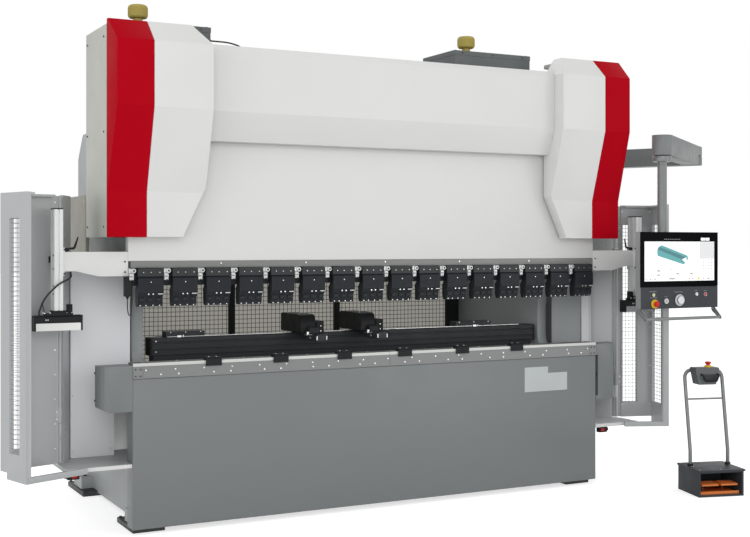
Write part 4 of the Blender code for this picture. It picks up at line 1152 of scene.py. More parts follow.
@dataclass
class LaserArms:
    """The arms on the ram's ends with their slotted rails, light units, levers and leads."""

    rail: Plan = (1.204, 1.729)
    rail_x: float = 1.9125
    unit: Plan = (1.1, 1.18)
    unit_x: Plan = (1.79, 2.04)
    lever_root: Place = (1.866, 0.062, 1.5085)

    def build(self) -> None:
        """Build both arms."""
        screws = Screws("arm_screws", "ram", DARK_BOLT)
        for side, sign in SIDES:
            dress(side + "_ram_arm", WHITE, 0.0015)
            dress(side + "_laser_rail", ANODISED, 0.0007)
            middle = sign * self.rail_x
            cap = Blank()
            for low, high in ((self.rail[1] - 0.0005, self.rail[1] + 0.006),
                              (self.rail[0] - 0.005, self.rail[0])):
                cap.box((middle - 0.0228, 0.0295, low), (middle + 0.0228, 0.1205, high))
            cap.piece(side + "_rail_caps", PLASTIC, "ram", 0.0012)
            screws.add(FRONT, 0.005, [(sign * 1.8825, 0.034, z) for z in (1.395, 1.52)])
            screws.add((sign, 0, 0), 0.0045, [(sign * 1.935, 0.052, z) for z in (1.42, 1.49, 1.33, 1.29)])
            screws.add(FRONT, 0.0048, [(sign * 1.56, 0.046, z) for z in (1.4554, 1.4)])
            self._lever(side, sign)
            self._unit(side, sign)
        screws.build()
        box = Blank()
        box.box((-1.566, 0.02, 1.27), (-1.532, 0.056, 1.3765))
        box.rod((-1.549, 0.038, 1.258), (-1.549, 0.038, 1.272), 0.006, 0.009)
        box.piece("ram_end_switch", PLASTIC, "ram", 0.002)
        route = smooth_route(((-1.549, 0.04, 1.374), (-1.549, 0.039, 1.3), (-1.549, 0.034, 1.205),
                              (-1.544, 0.026, 1.172), (-1.534, 0.024, 1.176), (-1.529, 0.03, 1.206),
                              (-1.524, 0.044, 1.26), (-1.52, 0.056, 1.306), (-1.518, 0.0595, 1.3245)), 36)
        cable("ram_end_cable", route[::-1], 0.006, "ram")
        route = smooth_route(((-2.01, 0.04, 1.1806), (-2.01, 0.04, 1.192), (-2.009, 0.039, 1.206),
                              (-1.985, 0.018, 1.27), (-1.925, 0.01, 1.335), (-1.865, 0.026, 1.366),
                              (-1.843, 0.058, 1.38), (-1.842, 0.068, 1.392), (-1.842, 0.068, 1.4054)), 40)
        cable("laser_lead_sheath", route, 0.01, "ram", ("laser_lead",))
        aerial = Blank().tube(((-1.97, 0.03, 1.177), (-1.978, 0.03, 1.184), (-1.991, 0.03, 1.21),
                               (-1.996, 0.03, 1.244)), 0.0022, 8)
        aerial.piece("left_unit_stalk", PLASTIC, "ram", 0.0)

    def _lever(self, side: str, sign: int) -> None:
        """Build the bent clamping lever on top of an arm's end.

        Args:
            side: The arm's side.
            sign: Which way that side is along the bed.
        """
        x, y, z = self.lever_root
        root = (sign * x, y, z)
        lever = Blank()
        lever.turned(((0, 0.02), (0.009, 0.02), (0.012, 0.016), (0.012, 0.0), (0, 0.0)), root)
        corners = ((root[0], y, 1.524), (root[0] - sign * 0.04, 0.058, 1.526),
                   (root[0] - sign * 0.058, 0.052, 1.585))
        lever.tube(rounded(corners, 0.014), 0.0065, ends=0.55)
        lever.piece(side + "_clamp_lever", PLASTIC, "ram", 0.001)

    def _unit(self, side: str, sign: int) -> None:
        """Build one light unit: dark body, pale lower face, top plate, clamp block and knobs.

        Args:
            side: The unit's side.
            sign: Which way that side is along the bed.
        """
        low, top = self.unit
        near, far = sorted(sign * x for x in self.unit_x)
        body = Blank()
        body.prism(((0.026, low + 0.002), (0.078, low), (0.08, low + 0.004), (0.08, top - 0.004),
                    (0.076, top), (0.03, top), (0.02, top - 0.01), (0.02, low + 0.044),
                    (0.026, low + 0.042)), "YZ",
                   near + 0.003, far - 0.003)
        body.box((near, 0.0205, low), (near + 0.008, 0.08, top))
        body.box((far - 0.008, 0.0205, low), (far, 0.08, top))
        body.prism(((sign * 1.84, top - 0.002), (sign * 1.98, top - 0.002), (sign * 1.98, 1.192),
                    (sign * 1.84, 1.192)), "XZ", 0.022, 0.078)
        body.box((sign * 1.872, 0.024, 1.19), (sign * 1.948, 0.076, 1.2035))
        body.piece(side + "_unit_body", PLASTIC, "ram", 0.0015, (side + "_laser_unit",))
        face = Blank().box((near + 0.01, 0.0202, low + 0.001), (far - 0.01, 0.028, low + 0.04))
        face.piece(side + "_unit_face", UNIT_FACE if side == "left" else UNIT_GREY, "ram", 0.0008)
        windows = Blank()
        windows.box((near + 0.024, 0.0202, top - 0.03), (near + 0.044, 0.024, top - 0.014))
        windows.box((near + 0.0005, 0.03, low + 0.01), (near + 0.0035, 0.066, low + 0.038))
        windows.piece(side + "_unit_windows", UNIT_FACE, "ram", 0.0006)
        knobs = Screws(side + "_unit_knobs", "ram", BRIGHT)
        knobs.add(UP, 0.005, [(near + 0.055 + 0.028 * index, y, 1.1915) for index in range(6)
                              for y in (0.03, 0.07)])
        knobs.add(FRONT, 0.003, [(near + 0.06 + 0.01 * index, 0.0202, top - 0.022) for index in range(2)])
        knobs.build()
        clamp = Blank()
        edge = sign * 1.866
        clamp.box((edge, 0.036, 1.19), (edge - sign * 0.026, 0.068, 1.236))
        clamp.rod((edge - sign * 0.013, 0.036, 1.222), (edge - sign * 0.013, 0.024, 1.222), 0.007)
        clamp.piece(side + "_unit_clamp", PLASTIC, "ram", 0.0015)


@dataclass
class WireMesh:
    """One rectangle of welded wire between two plan points and two heights."""

    name: str
    node: str
    start: Vector
    end: Vector
    low: float
    high: float
    pitch: float = 0.025
    radius: float = 0.0014
    finish: Finish = GALVANISED

    def build(self) -> None:
        """Weave the wires and mount them in place of the node."""
        along = self.end - self.start
        height = self.high - self.low
        values = {"Width": along.length, "Height": height, "Columns": round(along.length / self.pitch),
                  "Rows": round(height / self.pitch), "Radius": self.radius, "Sides": 5,
                  "Finish": self.finish.material()}
        mesh = WEAVE.run(bpy.data.meshes.new("start"), values, self.name)
        turn = Matrix.Rotation(math.atan2(along.y, along.x), 4, "Z")
        mesh.transform(SHIFT @ Matrix.Translation((*self.start, self.low)) @ turn)
        mount(mesh, self.name, self.finish, NODES[self.node]["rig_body"], 0.0, (self.node,))


@dataclass
class Guards:
    """The shelves, hinge posts, fences, end panel and the two hinged side guards."""

    hinge: dict[str, Plan] = field(default_factory=lambda: {"left": (-1.87, 0.19), "right": (1.85, 0.19)})
    width: dict[str, float] = field(default_factory=lambda: {"left": 0.323, "right": 0.25})
    turn: float = math.atan2(0.284, 0.959)
    window: Plan = (0.4903, 1.6797)
    sheet_edge: Plan = (0.05, 0.031)
    fold: Plan = (0.012, 0.235)
    lap: float = 0.0003
    trim_lap: Plan = (0.006, 0.0005)
    trim_depths: Plan = (0.0095, 0.0118)
    screen_x: Plan = (-1.3, 1.3)
    screen_z: Plan = (0.47, 1.58)
    back_window: dict[str, tuple[Plan, Plan]] = field(default_factory=lambda: {
        "left": ((0.08, 0.215), (0.205, 0.3)), "right": ((0.08, 0.041), (0.2, 0.141))})
    side_window: dict[str, tuple[Plan, Plan]] = field(default_factory=lambda: {
        "left": ((0.04, 0.085), (0.17, 0.19)), "right": ((0.04, 0.035), (0.17, 0.182))})
    interlock: dict[str, float] = field(default_factory=lambda: {"left": 1.8, "right": 1.6})
    leaf: Plan = (0.0115, 0.032)
    leaf_half: float = 0.002
    barrel_radius: float = 0.0095
    barrel_spans: Sequence[Plan] = ((0.39, 0.5185), (0.5995, 1.5185), (1.5995, 1.804))
    leaf_span: Plan = (0.39, 1.804)

    def build(self) -> None:
        """Build the fixed guards and both doors."""
        # The left end panel takes the brightened white, which is painted light.
        dress("left_end_panel", PANEL_PAINTED_LIGHT, 0.0015)
        # The rear fence's near-black is painted shade.
        dress("rear_fence", REAR_FRAME_PAINTED_SHADE, 0.002)
        for side, sign in SIDES:
            # The right shelf and post take the lighter copy of the guard grey, which is painted light.
            shelf = dress(side + "_shelf", GUARD if side == "left" else POST_PAINTED_LIGHT, 0.0012,
                          moved=self._post_closer(side, sign))
            repaint(shelf, WHITE, lambda middle: middle.y < 0.0105)
            # The left fence's dark beige carries painted shade; the right fence takes the guard grey.
            dress(side + "_side_fence", FENCE_PAINTED_SHADE if side == "left" else GUARD, 0.0015)
            self._door(side, sign)
        self._right_end()
        (left, right), (low, high) = self.screen_x, self.screen_z
        WireMesh("rear_wire_mesh", "rear_mesh", Vector((left, 1.4375)), Vector((right, 1.4375)), low, high,
                 0.03, 0.0017, DARK_WIRE).build()
        # The backing sheet glows: painted light behind the rear wires.
        sheet = Blank().box((left, 1.4392, low), (right, 1.4398, high))
        sheet.piece("rear_screen", SCREEN_SHEET_PAINTED_GLOW, "machine", 0.0)
        self._fixed_screws()
        self._interlock()

    def _way(self, sign: int) -> tuple[Vector, Vector]:
        """Return the directions along a door's back and along its side."""
        out = Vector((sign * math.cos(self.turn), -math.sin(self.turn)))
        return out, Vector((-sign * math.sin(self.turn), -math.cos(self.turn)))

    def _post_way(self, sign: int) -> tuple[Vector, Vector]:
        """Return the directions along a hinge post's sheet and across it."""
        along = Vector((-sign * 0.09, 0.18)).normalized()
        return along, Vector((-along.y, along.x))

    def _post_closer(self, side: str, sign: int) -> Callable[[Vector], Vector]:
        """Return what moves the edge of a hinge post's sheet nearer to the hinge.

        Args:
            side: The post's side.
            sign: Which way that side is along the bed.

        Returns:
            A function of a corner's place.
        """
        hinge = Vector(self.hinge[side])
        along, _ = self._post_way(sign)
        old, new = self.sheet_edge

        def moved(place: Vector) -> Vector:
            """Return where a corner of the shelf and its post goes.

            Args:
                place: The corner's place.

            Returns:
                Its new place.
            """
            offset = place.xy - hinge
            if abs(offset.dot(along) - old) < 0.001 and offset.length < old + 0.005:
                return Vector((*(place.xy + along * (new - old)), place.z))
            return place

        return moved

    def _door_shaper(self, side: str, sign: int) -> Callable[[Vector], Vector]:
        """Return what moves a door's corners, so that its windows are the photograph's.

        Args:
            side: The door's side.
            sign: Which way that side is along the bed.

        Returns:
            A function of a corner's place.
        """
        hinge, wide = Vector(self.hinge[side]), self.width[side]
        out, ahead = self._way(sign)
        thin, deep = self.fold
        fold = wide - thin

        def moved(place: Vector) -> Vector:
            """Return where a corner of the door goes.

            Args:
                place: The corner's place.

            Returns:
                Its new place.
            """
            offset = place.xy - hinge
            u, v = offset.dot(out), offset.dot(ahead)
            if abs(v) < thin and u < fold:
                u = stretch(u, ((thin, thin), self.sheet_edge, *self.back_window[side], (fold, fold)))
            elif u > fold and v < deep:
                v = stretch(v, ((thin, thin), *self.side_window[side], (deep, deep)))
            elif side == "left" and v > deep and abs(u - wide + 0.03) < 0.001:
                u += 0.012
            return Vector((*(hinge + out * u + ahead * v), place.z))

        return moved

    def _right_end(self) -> None:
        """Add the grey sheet and the pale strip that close the right end behind the bed, in lightened
        colours that are painted light.
        """
        sheet = ((1.54, 0.3813), (1.659, 0.3813), (1.659, 1.505), (1.425, 1.505), (1.425, 0.78),
                 (1.54, 0.78))
        Blank().prism(sheet, "XZ", 0.331, 0.343).piece("right_end_sheet", FRAME, "machine", 0.001)
        strip = Blank().box((1.6605, 0.318, 0.3813), (1.7195, 0.3295, 1.505))
        strip.piece("right_end_strip", PANEL_PAINTED_LIGHT, "machine", 0.001)

    def _door(self, side: str, sign: int) -> None:
        """Dress one door and add its meshes, window frames, hinges, latch and screws.

        Args:
            side: The door's side.
            sign: Which way that side is along the bed.
        """
        body = side + "_door"
        hinge, wide = Vector(self.hinge[side]), self.width[side]
        out, ahead = self._way(sign)

        def at(u: float, v: float) -> Vector:
            """Return a plan point of the door."""
            return hinge + out * u + ahead * v

        dress(side + "_guard", GUARD, 0.001, moved=self._door_shaper(side, sign))
        low, high = self.window
        near, far = ([new + shrink for (_, new), shrink in zip(window, (self.lap, -self.lap))]
                     for window in (self.back_window[side], self.side_window[side]))
        WireMesh(side + "_back_wires", side + "_back_mesh", at(near[0], 0), at(near[1], 0), low,
                 high).build()
        WireMesh(side + "_side_wires", side + "_side_mesh", at(wide, far[0]), at(wide, far[1]), low,
                 high).build()
        trim = Blank()
        lap, bite = self.trim_lap
        shallow, deep = self.trim_depths
        heights = (low - lap, high + lap)
        for edges, across in ((near, None), (far, (wide - deep, wide - shallow))):
            for span in ((edges[0] - lap, edges[0] + bite), (edges[1] - bite, edges[1] + lap)):
                reach, width = (across, span) if across else (span, (shallow, deep))
                trim.slab(hinge, out, ahead, reach, width, heights)
        trim.piece(side + "_window_trim", GALVANISED, body, 0.0005)
        screws = Screws(side + "_door_screws", body, BRIGHT)
        inward, aside = (ahead.x, ahead.y, 0.0), (-out.x, -out.y, 0.0)
        rows = [0.47 + 0.13 * index for index in range(11)]
        screws.add(inward, 0.0038, [(*at(0.036, 0.01), z) for z in rows])
        screws.add(inward, 0.0038, [(*at(wide - 0.0165, 0.01), z) for z in rows[::2]])
        for v in (0.022, 0.205):
            screws.add(aside, 0.0038, [(*at(wide - 0.01, v), z) for z in rows])
        screws.build()
        pins = Blank()
        for base in (0.602, 1.602):
            pins.rod((*hinge, base + 0.076), (*hinge, base + 0.084), 0.0085, 0.006)
            for z in (base + 0.02, base + 0.058):
                spot = at(0.022, 0.003)
                pins.rod((*spot, z), (*(spot + ahead * 0.004), z), 0.005, 0.004, 10)
        pins.piece(side + "_hinge_pins", BRIGHT, body, 0.0006)
        latch = Blank()
        spot = at(0.062 if side == "left" else 0.222, 0.01)
        latch.slab(spot, out, ahead, (-0.011, 0.011), (0.0, 0.016), (1.45, 1.484))
        latch.rod((*(spot + ahead * 0.016), 1.467), (*(spot + ahead * 0.026), 1.467), 0.008)
        latch.piece(side + "_door_latch", PLASTIC, body, 0.0015)
        self._leaves(side, sign)

    def _leaves(self, side: str, sign: int) -> None:
        """Build the hinge's two leaves and its barrel.

        Args:
            side: The hinge's side.
            sign: Which way that side is along the bed.
        """
        hinge = Vector(self.hinge[side])
        thick = (-self.leaf_half, self.leaf_half)
        leaf = Blank().slab(hinge, *self._way(sign), self.leaf, thick, self.leaf_span)
        for start, end in self.barrel_spans:
            leaf.rod((*hinge, start), (*hinge, end), self.barrel_radius)
        leaf.piece(side + "_hinge_leaf", GUARD, side + "_door", 0.0004)
        post = Blank().slab(hinge, *self._post_way(sign), self.leaf, thick, self.leaf_span)
        post.piece(side + "_post_leaf", GUARD, "machine", 0.0004)

    def _fixed_screws(self) -> None:
        """Add the screws of the end panel, fences and hinge posts."""
        screws = Screws("guard_screws", "machine", BRIGHT)
        screws.add(FRONT, 0.0045, [(x, 0.33, z) for x in (-1.768, -1.56) for z in (0.42, 0.72)])
        screws.add(FRONT, 0.0045, [(x, 0.33, 1.48) for x in (-1.768, -1.462)])
        for side, sign in SIDES:
            screws.add((sign, 0, 0), 0.005, [(sign * 1.68, y, z) for y in (0.43, 0.99, 1.57)
                                             for z in (0.42, 0.9, 1.38, 1.79)])
            screws.add(UP, 0.005, [(sign * 1.56, y, 0.381) for y in (0.04, 0.3, 0.47)])
            hinge = Vector(self.hinge[side])
            along, across = self._post_way(sign)
            facing = (-across.x, -across.y, 0.0) if across.y > 0 else (across.x, across.y, 0.0)
            face = Vector(facing[:2]) * 0.01
            spots = [(*(hinge + along * 0.064 + face), base + step) for base in (0.52, 1.52)
                     for step in (0.02, 0.058)]
            screws.add(facing, 0.0048, spots)
        screws.add(BACK, 0.006, [(x, 1.435, z) for x in (-1.3, -0.435, 0.353, 1.271)
                                 for z in (0.47, 1.02, 1.58)])
        screws.build()

    def _interlock(self) -> None:
        """Add the interlock switch under each shelf's hinge."""
        for side, sign in SIDES:
            switch = Blank()
            near = self.interlock[side]
            switch.box((sign * near, 0.05, 0.318), (sign * (near + 0.062), 0.084, 0.3595))
            switch.box((sign * (near + 0.062), 0.056, 0.326), (sign * (near + 0.076), 0.078, 0.346))
            switch.piece(side + "_interlock", PLASTIC, "machine", 0.0015)
            mark = Blank().box((sign * (near + 0.012), 0.0485, 0.326),
                               (sign * (near + 0.038), 0.052, 0.344))
            mark.piece(side + "_interlock_mark", STOP_RED, "machine", 0.0005)


@dataclass
class BackGauge:
    """The back gauge's carriage, lifting beam and the two fingers with their stops."""

    beam: Plan = (0.912, 1.015)
    beam_ends: Plan = (-1.312, 1.33)
    upright_heights: Sequence[Plan] = ((0.0, 0.0), (0.9, 0.9), (1.26, 1.01))
    centres: dict[str, float] = field(default_factory=lambda: {"left": -0.35, "right": 0.0525})
    finger_half: float = 0.075
    pads: Sequence[Plan] = ((-1.1, 0.116), (0.857, 0.134))
    pad_top: float = 1.047

    def build(self) -> None:
        """Build the gauge."""
        dress("gauge_carriage", CHARCOAL, 0.002, moved=self._low_upright)
        self._beam()
        for side, centre in self.centres.items():
            self._finger(side, centre)

    def _low_upright(self, place: Vector) -> Vector:
        """Return where a corner of the carriage goes: its uprights end below the beam's top."""
        return Vector((place.x, place.y, stretch(place.z, self.upright_heights)))

    def _beam(self) -> None:
        """Build the drawn beam with its grooves, end plates, drive covers and slide plates."""
        low, top = self.beam
        start, end = self.beam_ends
        outline = ((0.4, low + 0.004), (0.404, low), (0.496, low), (0.5, low + 0.004), (0.5, top - 0.004),
                   (0.496, top), (0.404, top), (0.4, top - 0.004), (0.4, 0.99), (0.404, 0.988),
                   (0.404, 0.98), (0.4, 0.978), (0.4, 0.948), (0.403, 0.946), (0.403, 0.94), (0.4, 0.938))
        beam = Blank()
        beam.prism(outline, "YZ", start + 0.012, end - 0.012)
        for x, reach in self.pads:
            beam.box((x - reach, 0.41, top - 0.002), (x + reach, 0.49, self.pad_top))
            beam.box((x - reach + 0.02, 0.4085, 1.02), (x + reach - 0.02, 0.412, 1.041))
        for sign in (-1, 1):
            beam.box((sign * 1.13, 0.4995, 0.7), (sign * 1.21, 0.5062, 1.01))
        beam.box((start + 0.02, 0.412, 0.862), (end - 0.02, 0.494, low + 0.001))
        beam.piece("gauge_beam_drawn", GAUGE, "gauge_lifter", 0.0012, ("gauge_beam",))
        fittings = Blank()
        for x in (-1.14, 0.86):
            fittings.box((x - 0.012, 0.402, top - 0.001), (x + 0.012, 0.4084, top + 0.01))
            fittings.rod((x + 0.024, 0.405, top - 0.001), (x + 0.024, 0.405, top + 0.012), 0.003, sides=10)
        fittings.piece("gauge_fittings", BRIGHT, "gauge_lifter", 0.0006)
        ends = Blank()
        screws = Screws("gauge_screws", "gauge_lifter", BRIGHT)
        for sign, outer in ((-1, start), (1, end)):
            ends.box((outer, 0.4, low), (outer - sign * 0.012, 0.5, top))
            screws.add((sign, 0, 0), 0.004, [(outer - sign * 0.0034, y, z) for y in (0.415, 0.485)
                                             for z in (low + 0.015, top - 0.015)])
        ends.piece("gauge_end_plates", PLASTIC, "gauge_lifter", 0.0015)
        rail = Blank().box((-1.21, 0.4085, 1.0165), (1.21, 0.4265, 1.019))
        rail.piece("gauge_guide_rail", BRIGHT, "gauge_lifter", 0.0004)
        screws.add(FRONT, 0.0045, [(-1.28, 0.4, z) for z in (0.935, 0.995)])
        screws.add(FRONT, 0.003, [(x, 0.41, 1.0435) for x in (-1.19, -1.1, -1.01, 0.746, 0.857, 0.968)])
        screws.build()

    def _finger(self, side: str, centre: float) -> None:
        """Build one finger: slide block, drive cover, stepped stop and its clamp screws.

        Args:
            side: Which finger it is.
            centre: Where its middle is along the beam.
        """
        half = self.finger_half
        body = side + "_stop"
        block = Blank()
        rear = ((0.3, 1.0203), (0.6, 1.0203), (0.6, 1.118), (0.588, 1.13), (0.342, 1.13), (0.322, 1.122),
                (0.3, 1.08))
        block.prism(rear, "YZ", centre - half, centre + half * 0.35)
        block.prism(((0.292, 0.976), (0.299, 0.976), (0.299, 1.0203), (0.56, 1.0203), (0.56, 1.09),
                     (0.292, 1.09)),
                    "YZ", centre + half * 0.35, centre + half)
        block.piece(side + "_finger_block", PLASTIC, body, 0.003, (side + "_finger",))
        stop = Blank()
        nose = ((0.16, 0.982), (0.166, 0.976), (0.299, 0.976), (0.299, 1.06), (0.276, 1.05), (0.262, 1.02),
                (0.16, 1.014))
        stop.prism(nose, "YZ", centre - 0.03, centre + 0.03)
        stop.box((centre - 0.05, 0.23, 0.984), (centre + 0.05, 0.29, 1.01))
        stop.piece(side + "_finger_stop", GAUGE, body, 0.0015)
        tip = Blank()
        tip.box((centre - 0.034, 0.1602, 0.986), (centre + 0.034, 0.172, 1.01))
        tip.box((centre - 0.062, 0.24, 1.0095), (centre - 0.02, 0.284, 1.016))
        tip.rod((centre - 0.045, 0.262, 1.014), (centre - 0.045, 0.262, 1.03), 0.01)
        tip.piece(side + "_finger_tip", BRIGHT, body, 0.0012)
        screws = Screws(side + "_finger_screws", body, BRIGHT)
        screws.add(FRONT, 0.004, [(centre + step, 0.23, 0.997) for step in (-0.043, 0.043)])
        screws.add(FRONT, 0.0036, [(centre + half * 0.7, 0.292, z) for z in (1.03, 1.06)])
        screws.add(UP, 0.005, [(centre - half * 0.6, y, 1.1297) for y in (0.38, 0.56)])
        screws.build()


@dataclass
class Pendant:
    """The operator's pendant: links, drop tube, case with its screen, controls and handle."""

    case_x: Plan = (1.598, 2.236)
    front: float = -0.36
    back: float = -0.3103
    low: float = 1.142
    seam: float = 1.279
    top: float = 1.626
    screen_x: Plan = (1.629, 2.207)
    screen_z: Plan = (1.3155, 1.566)
    tile: float = 0.0004
    vent_pitch: float = 0.014
    body: str = "pendant_head"

    def build(self) -> None:
        """Build the pendant."""
        for node in ("pendant_bracket", "pendant_inner_arm", "pendant_outer_arm"):
            dress(node, ARM, 0.003)
        dress("pendant_tube", TUBE, 0.001)
        self._case()
        self._screen()
        self._controls()
        self._handle()

    def _case(self) -> None:
        """Build the case's back shell, its lower panel, the bezel and the fins behind."""
        x0, x1 = self.case_x
        shell = Blank()
        shell.box((x0, self.front + 0.006, self.low), (x1, self.back, self.top))
        shell.box((x0, self.front, self.low), (x1, self.front + 0.006, self.seam - 0.0008))
        cased = shell.piece("pendant_shell", SLATE, self.body, 0.003, ("pendant_case",))
        repaint(cased, UNIT_GREY, lambda middle: middle.x < x0 + 0.001)
        bezel = Blank()
        u0, u1 = self.screen_x
        v0, v1 = self.screen_z
        edge = 0.0003
        low, high = self.seam + 0.0008, self.top - edge
        left, right = x0 + edge, x1 - edge
        for a, b in (((left, low), (u0, high)), ((u1, low), (right, high)), ((u0, low), (u1, v0)),
                     ((u0, v1), (u1, high))):
            bezel.box((a[0], self.front + 0.0003, a[1]), (b[0], self.front + 0.0062, b[1]))
        bezel.piece("pendant_bezel", BEZEL, self.body, 0.0)
        slots = Blank().box((-0.0025, -0.0006, -0.05), (0.0025, 0.0012, 0.05))
        vents = [x0 + 0.09 + self.vent_pitch * index for index in range(30)]
        spots = [Spot((x, self.back, 1.23)) for x in vents if abs(x - 1.84) > 0.02]
        repeat(slots, spots, "pendant_vents", PLASTIC, self.body)
        screws = Screws("pendant_screws", self.body, DARK_BOLT)
        screws.add(BACK, 0.0045, [(x, self.back - 0.0012, z) for x in (x0 + 0.02, x1 - 0.02)
                                  for z in (self.low + 0.02, 1.385, self.top - 0.02)])
        screws.build()

    def _on_screen(self, points: Sequence[Plan]) -> list[Plan]:
        """Turn shares of the screen's size into places on it."""
        (u0, u1), (v0, v1) = self.screen_x, self.screen_z
        return [(u0 + (u1 - u0) * u, v0 + (v1 - v0) * v) for u, v in points]

    def _flat(self, blank: Blank, low: Plan, reach: Plan) -> None:
        """Add a thin tile on the screen.

        Args:
            blank: What the tile is added to.
            low: Its lower left corner, as shares of the screen's size.
            reach: Its width and height, as such shares.
        """
        (u, v), (wide, tall) = low, reach
        (x0, z0), (x1, z1) = self._on_screen(((u, v), (u + wide, v + tall)))
        face = self.front + 0.0023
        blank.box((x0, face, z0), (x1, face + self.tile, z1))

    def _header(self, blank: Blank, spans: Iterable[Plan], heights: Plan) -> None:
        """Add tiles on the bezel over the screen.

        Args:
            blank: What they are added to.
            spans: Where each starts and ends, as shares of the screen's width.
            heights: Their foot and top above the screen.
        """
        for start, end in spans:
            (x0, z), (x1, _) = self._on_screen(((start, 1.0), (end, 1.0)))
            blank.box((x0, self.front + 0.0001, z + heights[0]), (x1, self.front + 0.0008, z + heights[1]))

    def _screen(self) -> None:
        """Build the lit screen with a folded sheet, a side column, a keypad and plain marks."""
        (u0, u1), (v0, v1) = self.screen_x, self.screen_z
        panel = Blank().box((u0, self.front + 0.0026, v0), (u1, self.front + 0.006, v1))
        panel.piece("screen_panel", LIT, self.body, 0.0)
        grey = Blank()
        self._flat(grey, (0.785, 0.56), (0.212, 0.425))
        self._flat(grey, (0.03, 0.348), (0.755, 0.004))
        grey.piece("screen_column", LIT_GREY, self.body, 0.0)
        face = self.front + 0.0022
        folded = Blank()
        for outline in (((0.18, 0.72), (0.182, 0.8), (0.53, 0.545), (0.575, 0.47), (0.56, 0.415),
                         (0.185, 0.64)),
                        ((0.205, 0.87), (0.245, 0.905), (0.61, 0.64), (0.618, 0.54), (0.6, 0.53),
                         (0.59, 0.6))):
            folded.prism(self._on_screen(outline), "XZ", face, face + self.tile)
        folded.piece("screen_folded_sheet", LIT_TEAL, self.body, 0.0)
        shade = self._on_screen(((0.182, 0.8), (0.205, 0.87), (0.59, 0.6), (0.53, 0.545)))
        fold = Blank().prism(shade, "XZ", face + 0.0001, face + 0.0001 + self.tile)
        fold.piece("screen_folded_shade", LIT_DEEP, self.body, 0.0)
        marks = Blank()
        for row in range(4):
            for column in range(4):
                self._flat(marks, (0.835 + 0.04 * column, 0.3 + 0.075 * row), (0.01, 0.018))
        for left, low, reach in ((0.18, 0.25, 0.04), (0.18, 0.145, 0.04), (0.45, 0.17, 0.04),
                                 (0.65, 0.17, 0.035), (0.38, 0.285, 0.01), (0.02, 0.045, 0.012),
                                 (0.075, 0.045, 0.02), (0.14, 0.045, 0.02), (0.35, 0.045, 0.08),
                                 (0.63, 0.045, 0.015), (0.68, 0.045, 0.015), (0.84, 0.045, 0.015),
                                 (0.9, 0.045, 0.03), (0.96, 0.045, 0.015)):
            self._flat(marks, (left, low), (reach, 0.022))
        for low in (0.23, 0.125):
            self._flat(marks, (0.04, low), (0.4, 0.004))
        marks.piece("screen_marks", LIT_MARK, self.body, 0.0)
        ((x, z),) = self._on_screen(((0.77, 0.06),))
        knob = Blank().rod((x, self.front + 0.0026, z), (x, self.front + 0.0022, z), 0.008)
        knob.piece("screen_button", LIT_YELLOW, self.body, 0.0)
        header = Blank()
        self._header(header, ((0.8, 0.86), (0.866, 0.926)), (0.006, 0.024))
        header.piece("header_tiles", LIT, self.body, 0.0)
        dots = Blank()
        self._header(dots, ((0.28 + 0.026 * index, 0.288 + 0.026 * index) for index in range(9)),
                     (0.011, 0.017))
        dots.piece("header_dots", MARK, self.body, 0.0)

    def _controls(self) -> None:
        """Build the lamp, stop button, key switch, dial and push buttons with plain scales."""
        face = self.front
        rings, caps = Blank(), Blank()
        for x, z, radius in ((1.7, 1.23, 0.012), (2.053, 1.23, 0.013), (2.127, 1.228, 0.013)):
            rings.turned(((radius * 0.75, 0.0045), (radius * 0.9, 0.005), (radius, 0.003), (radius, -0.002),
                          (radius * 0.75, -0.002)), (x, face, z), FRONT, 24)
        rings.turned(((0.01, 0.01), (0.016, 0.01), (0.018, 0.007), (0.018, -0.002), (0.01, -0.002)),
                     (1.8, face, 1.19), FRONT, 28)
        rings.piece("button_rings", CHROME, self.body, 0.0)
        dome = ((0, 0.0095), (0.005, 0.009), (0.0085, 0.0065), (0.0092, 0.004), (0.0092, -0.001),
                (0, -0.001))
        collar = ((0, 0.008), (0.0265, 0.008), (0.028, 0.006), (0.028, -0.001), (0, -0.001))
        mushroom = ((0, 0.03), (0.012, 0.0292), (0.0185, 0.026), (0.0195, 0.022), (0.018, 0.0185),
                    (0.011, 0.016), (0.0105, 0.007), (0, 0.007))
        for name, finish, profile, x, z, steps in (
                ("control_lamp", LAMP, dome, 1.7, 1.23, 24),
                ("start_button", ANODISED, dome, 2.053, 1.23, 24),
                ("halt_button", STOP_RED, dome, 2.127, 1.228, 24),
                ("stop_collar", STOP_YELLOW, collar, 1.709, 1.173, 32),
                ("stop_mushroom", STOP_RED, mushroom, 1.709, 1.173, 32)):
            Blank().turned(profile, (x, face, z), FRONT, steps).piece(name, finish, self.body, 0.0)
        key = Blank()
        key.turned(((0, 0.012), (0.0095, 0.012), (0.01, 0.01), (0.01, -0.001), (0, -0.001)),
                   (1.8, face, 1.19), FRONT)
        key.box((1.7985, face - 0.018, 1.1815), (1.8015, face - 0.011, 1.1985))
        key.piece("key_switch", CHROME, self.body, 0.0005)
        dial = Blank()
        dial.turned(((0, 0.021), (0.024, 0.021), (0.0265, 0.019), (0.0275, 0.01), (0.037, 0.006),
                     (0.038, 0.004), (0.038, -0.001), (0, -0.001)), (1.911, face, 1.194), FRONT, 48)
        dial.piece("hand_dial", CHROME, self.body, 0.0006)
        grip = Blank().box((-0.0011, -0.0011, 0.0055), (0.0011, 0.0011, 0.019))
        grips = [Spot((1.911 + x, face, 1.194 + z), FRONT) for x, z in circle(0.0268, 28)]
        repeat(grip, grips, "dial_grips", CHROME, self.body)
        marks = Blank()
        for x, z, reach in ((1.7, 1.25, 0.03), (1.709, 1.211, 0.034), (1.8, 1.218, 0.008),
                            (1.911, 1.244, 0.04), (2.053, 1.25, 0.014), (2.127, 1.248, 0.01)):
            for index in range(max(2, int(reach / 0.006))):
                left = x - reach + 0.012 * index
                if left < x + reach:
                    marks.box((left, face - 0.0004, z), (left + 0.006, face + 0.001, z + 0.003))
        marks.piece("panel_ticks", MARK, self.body, 0.0)

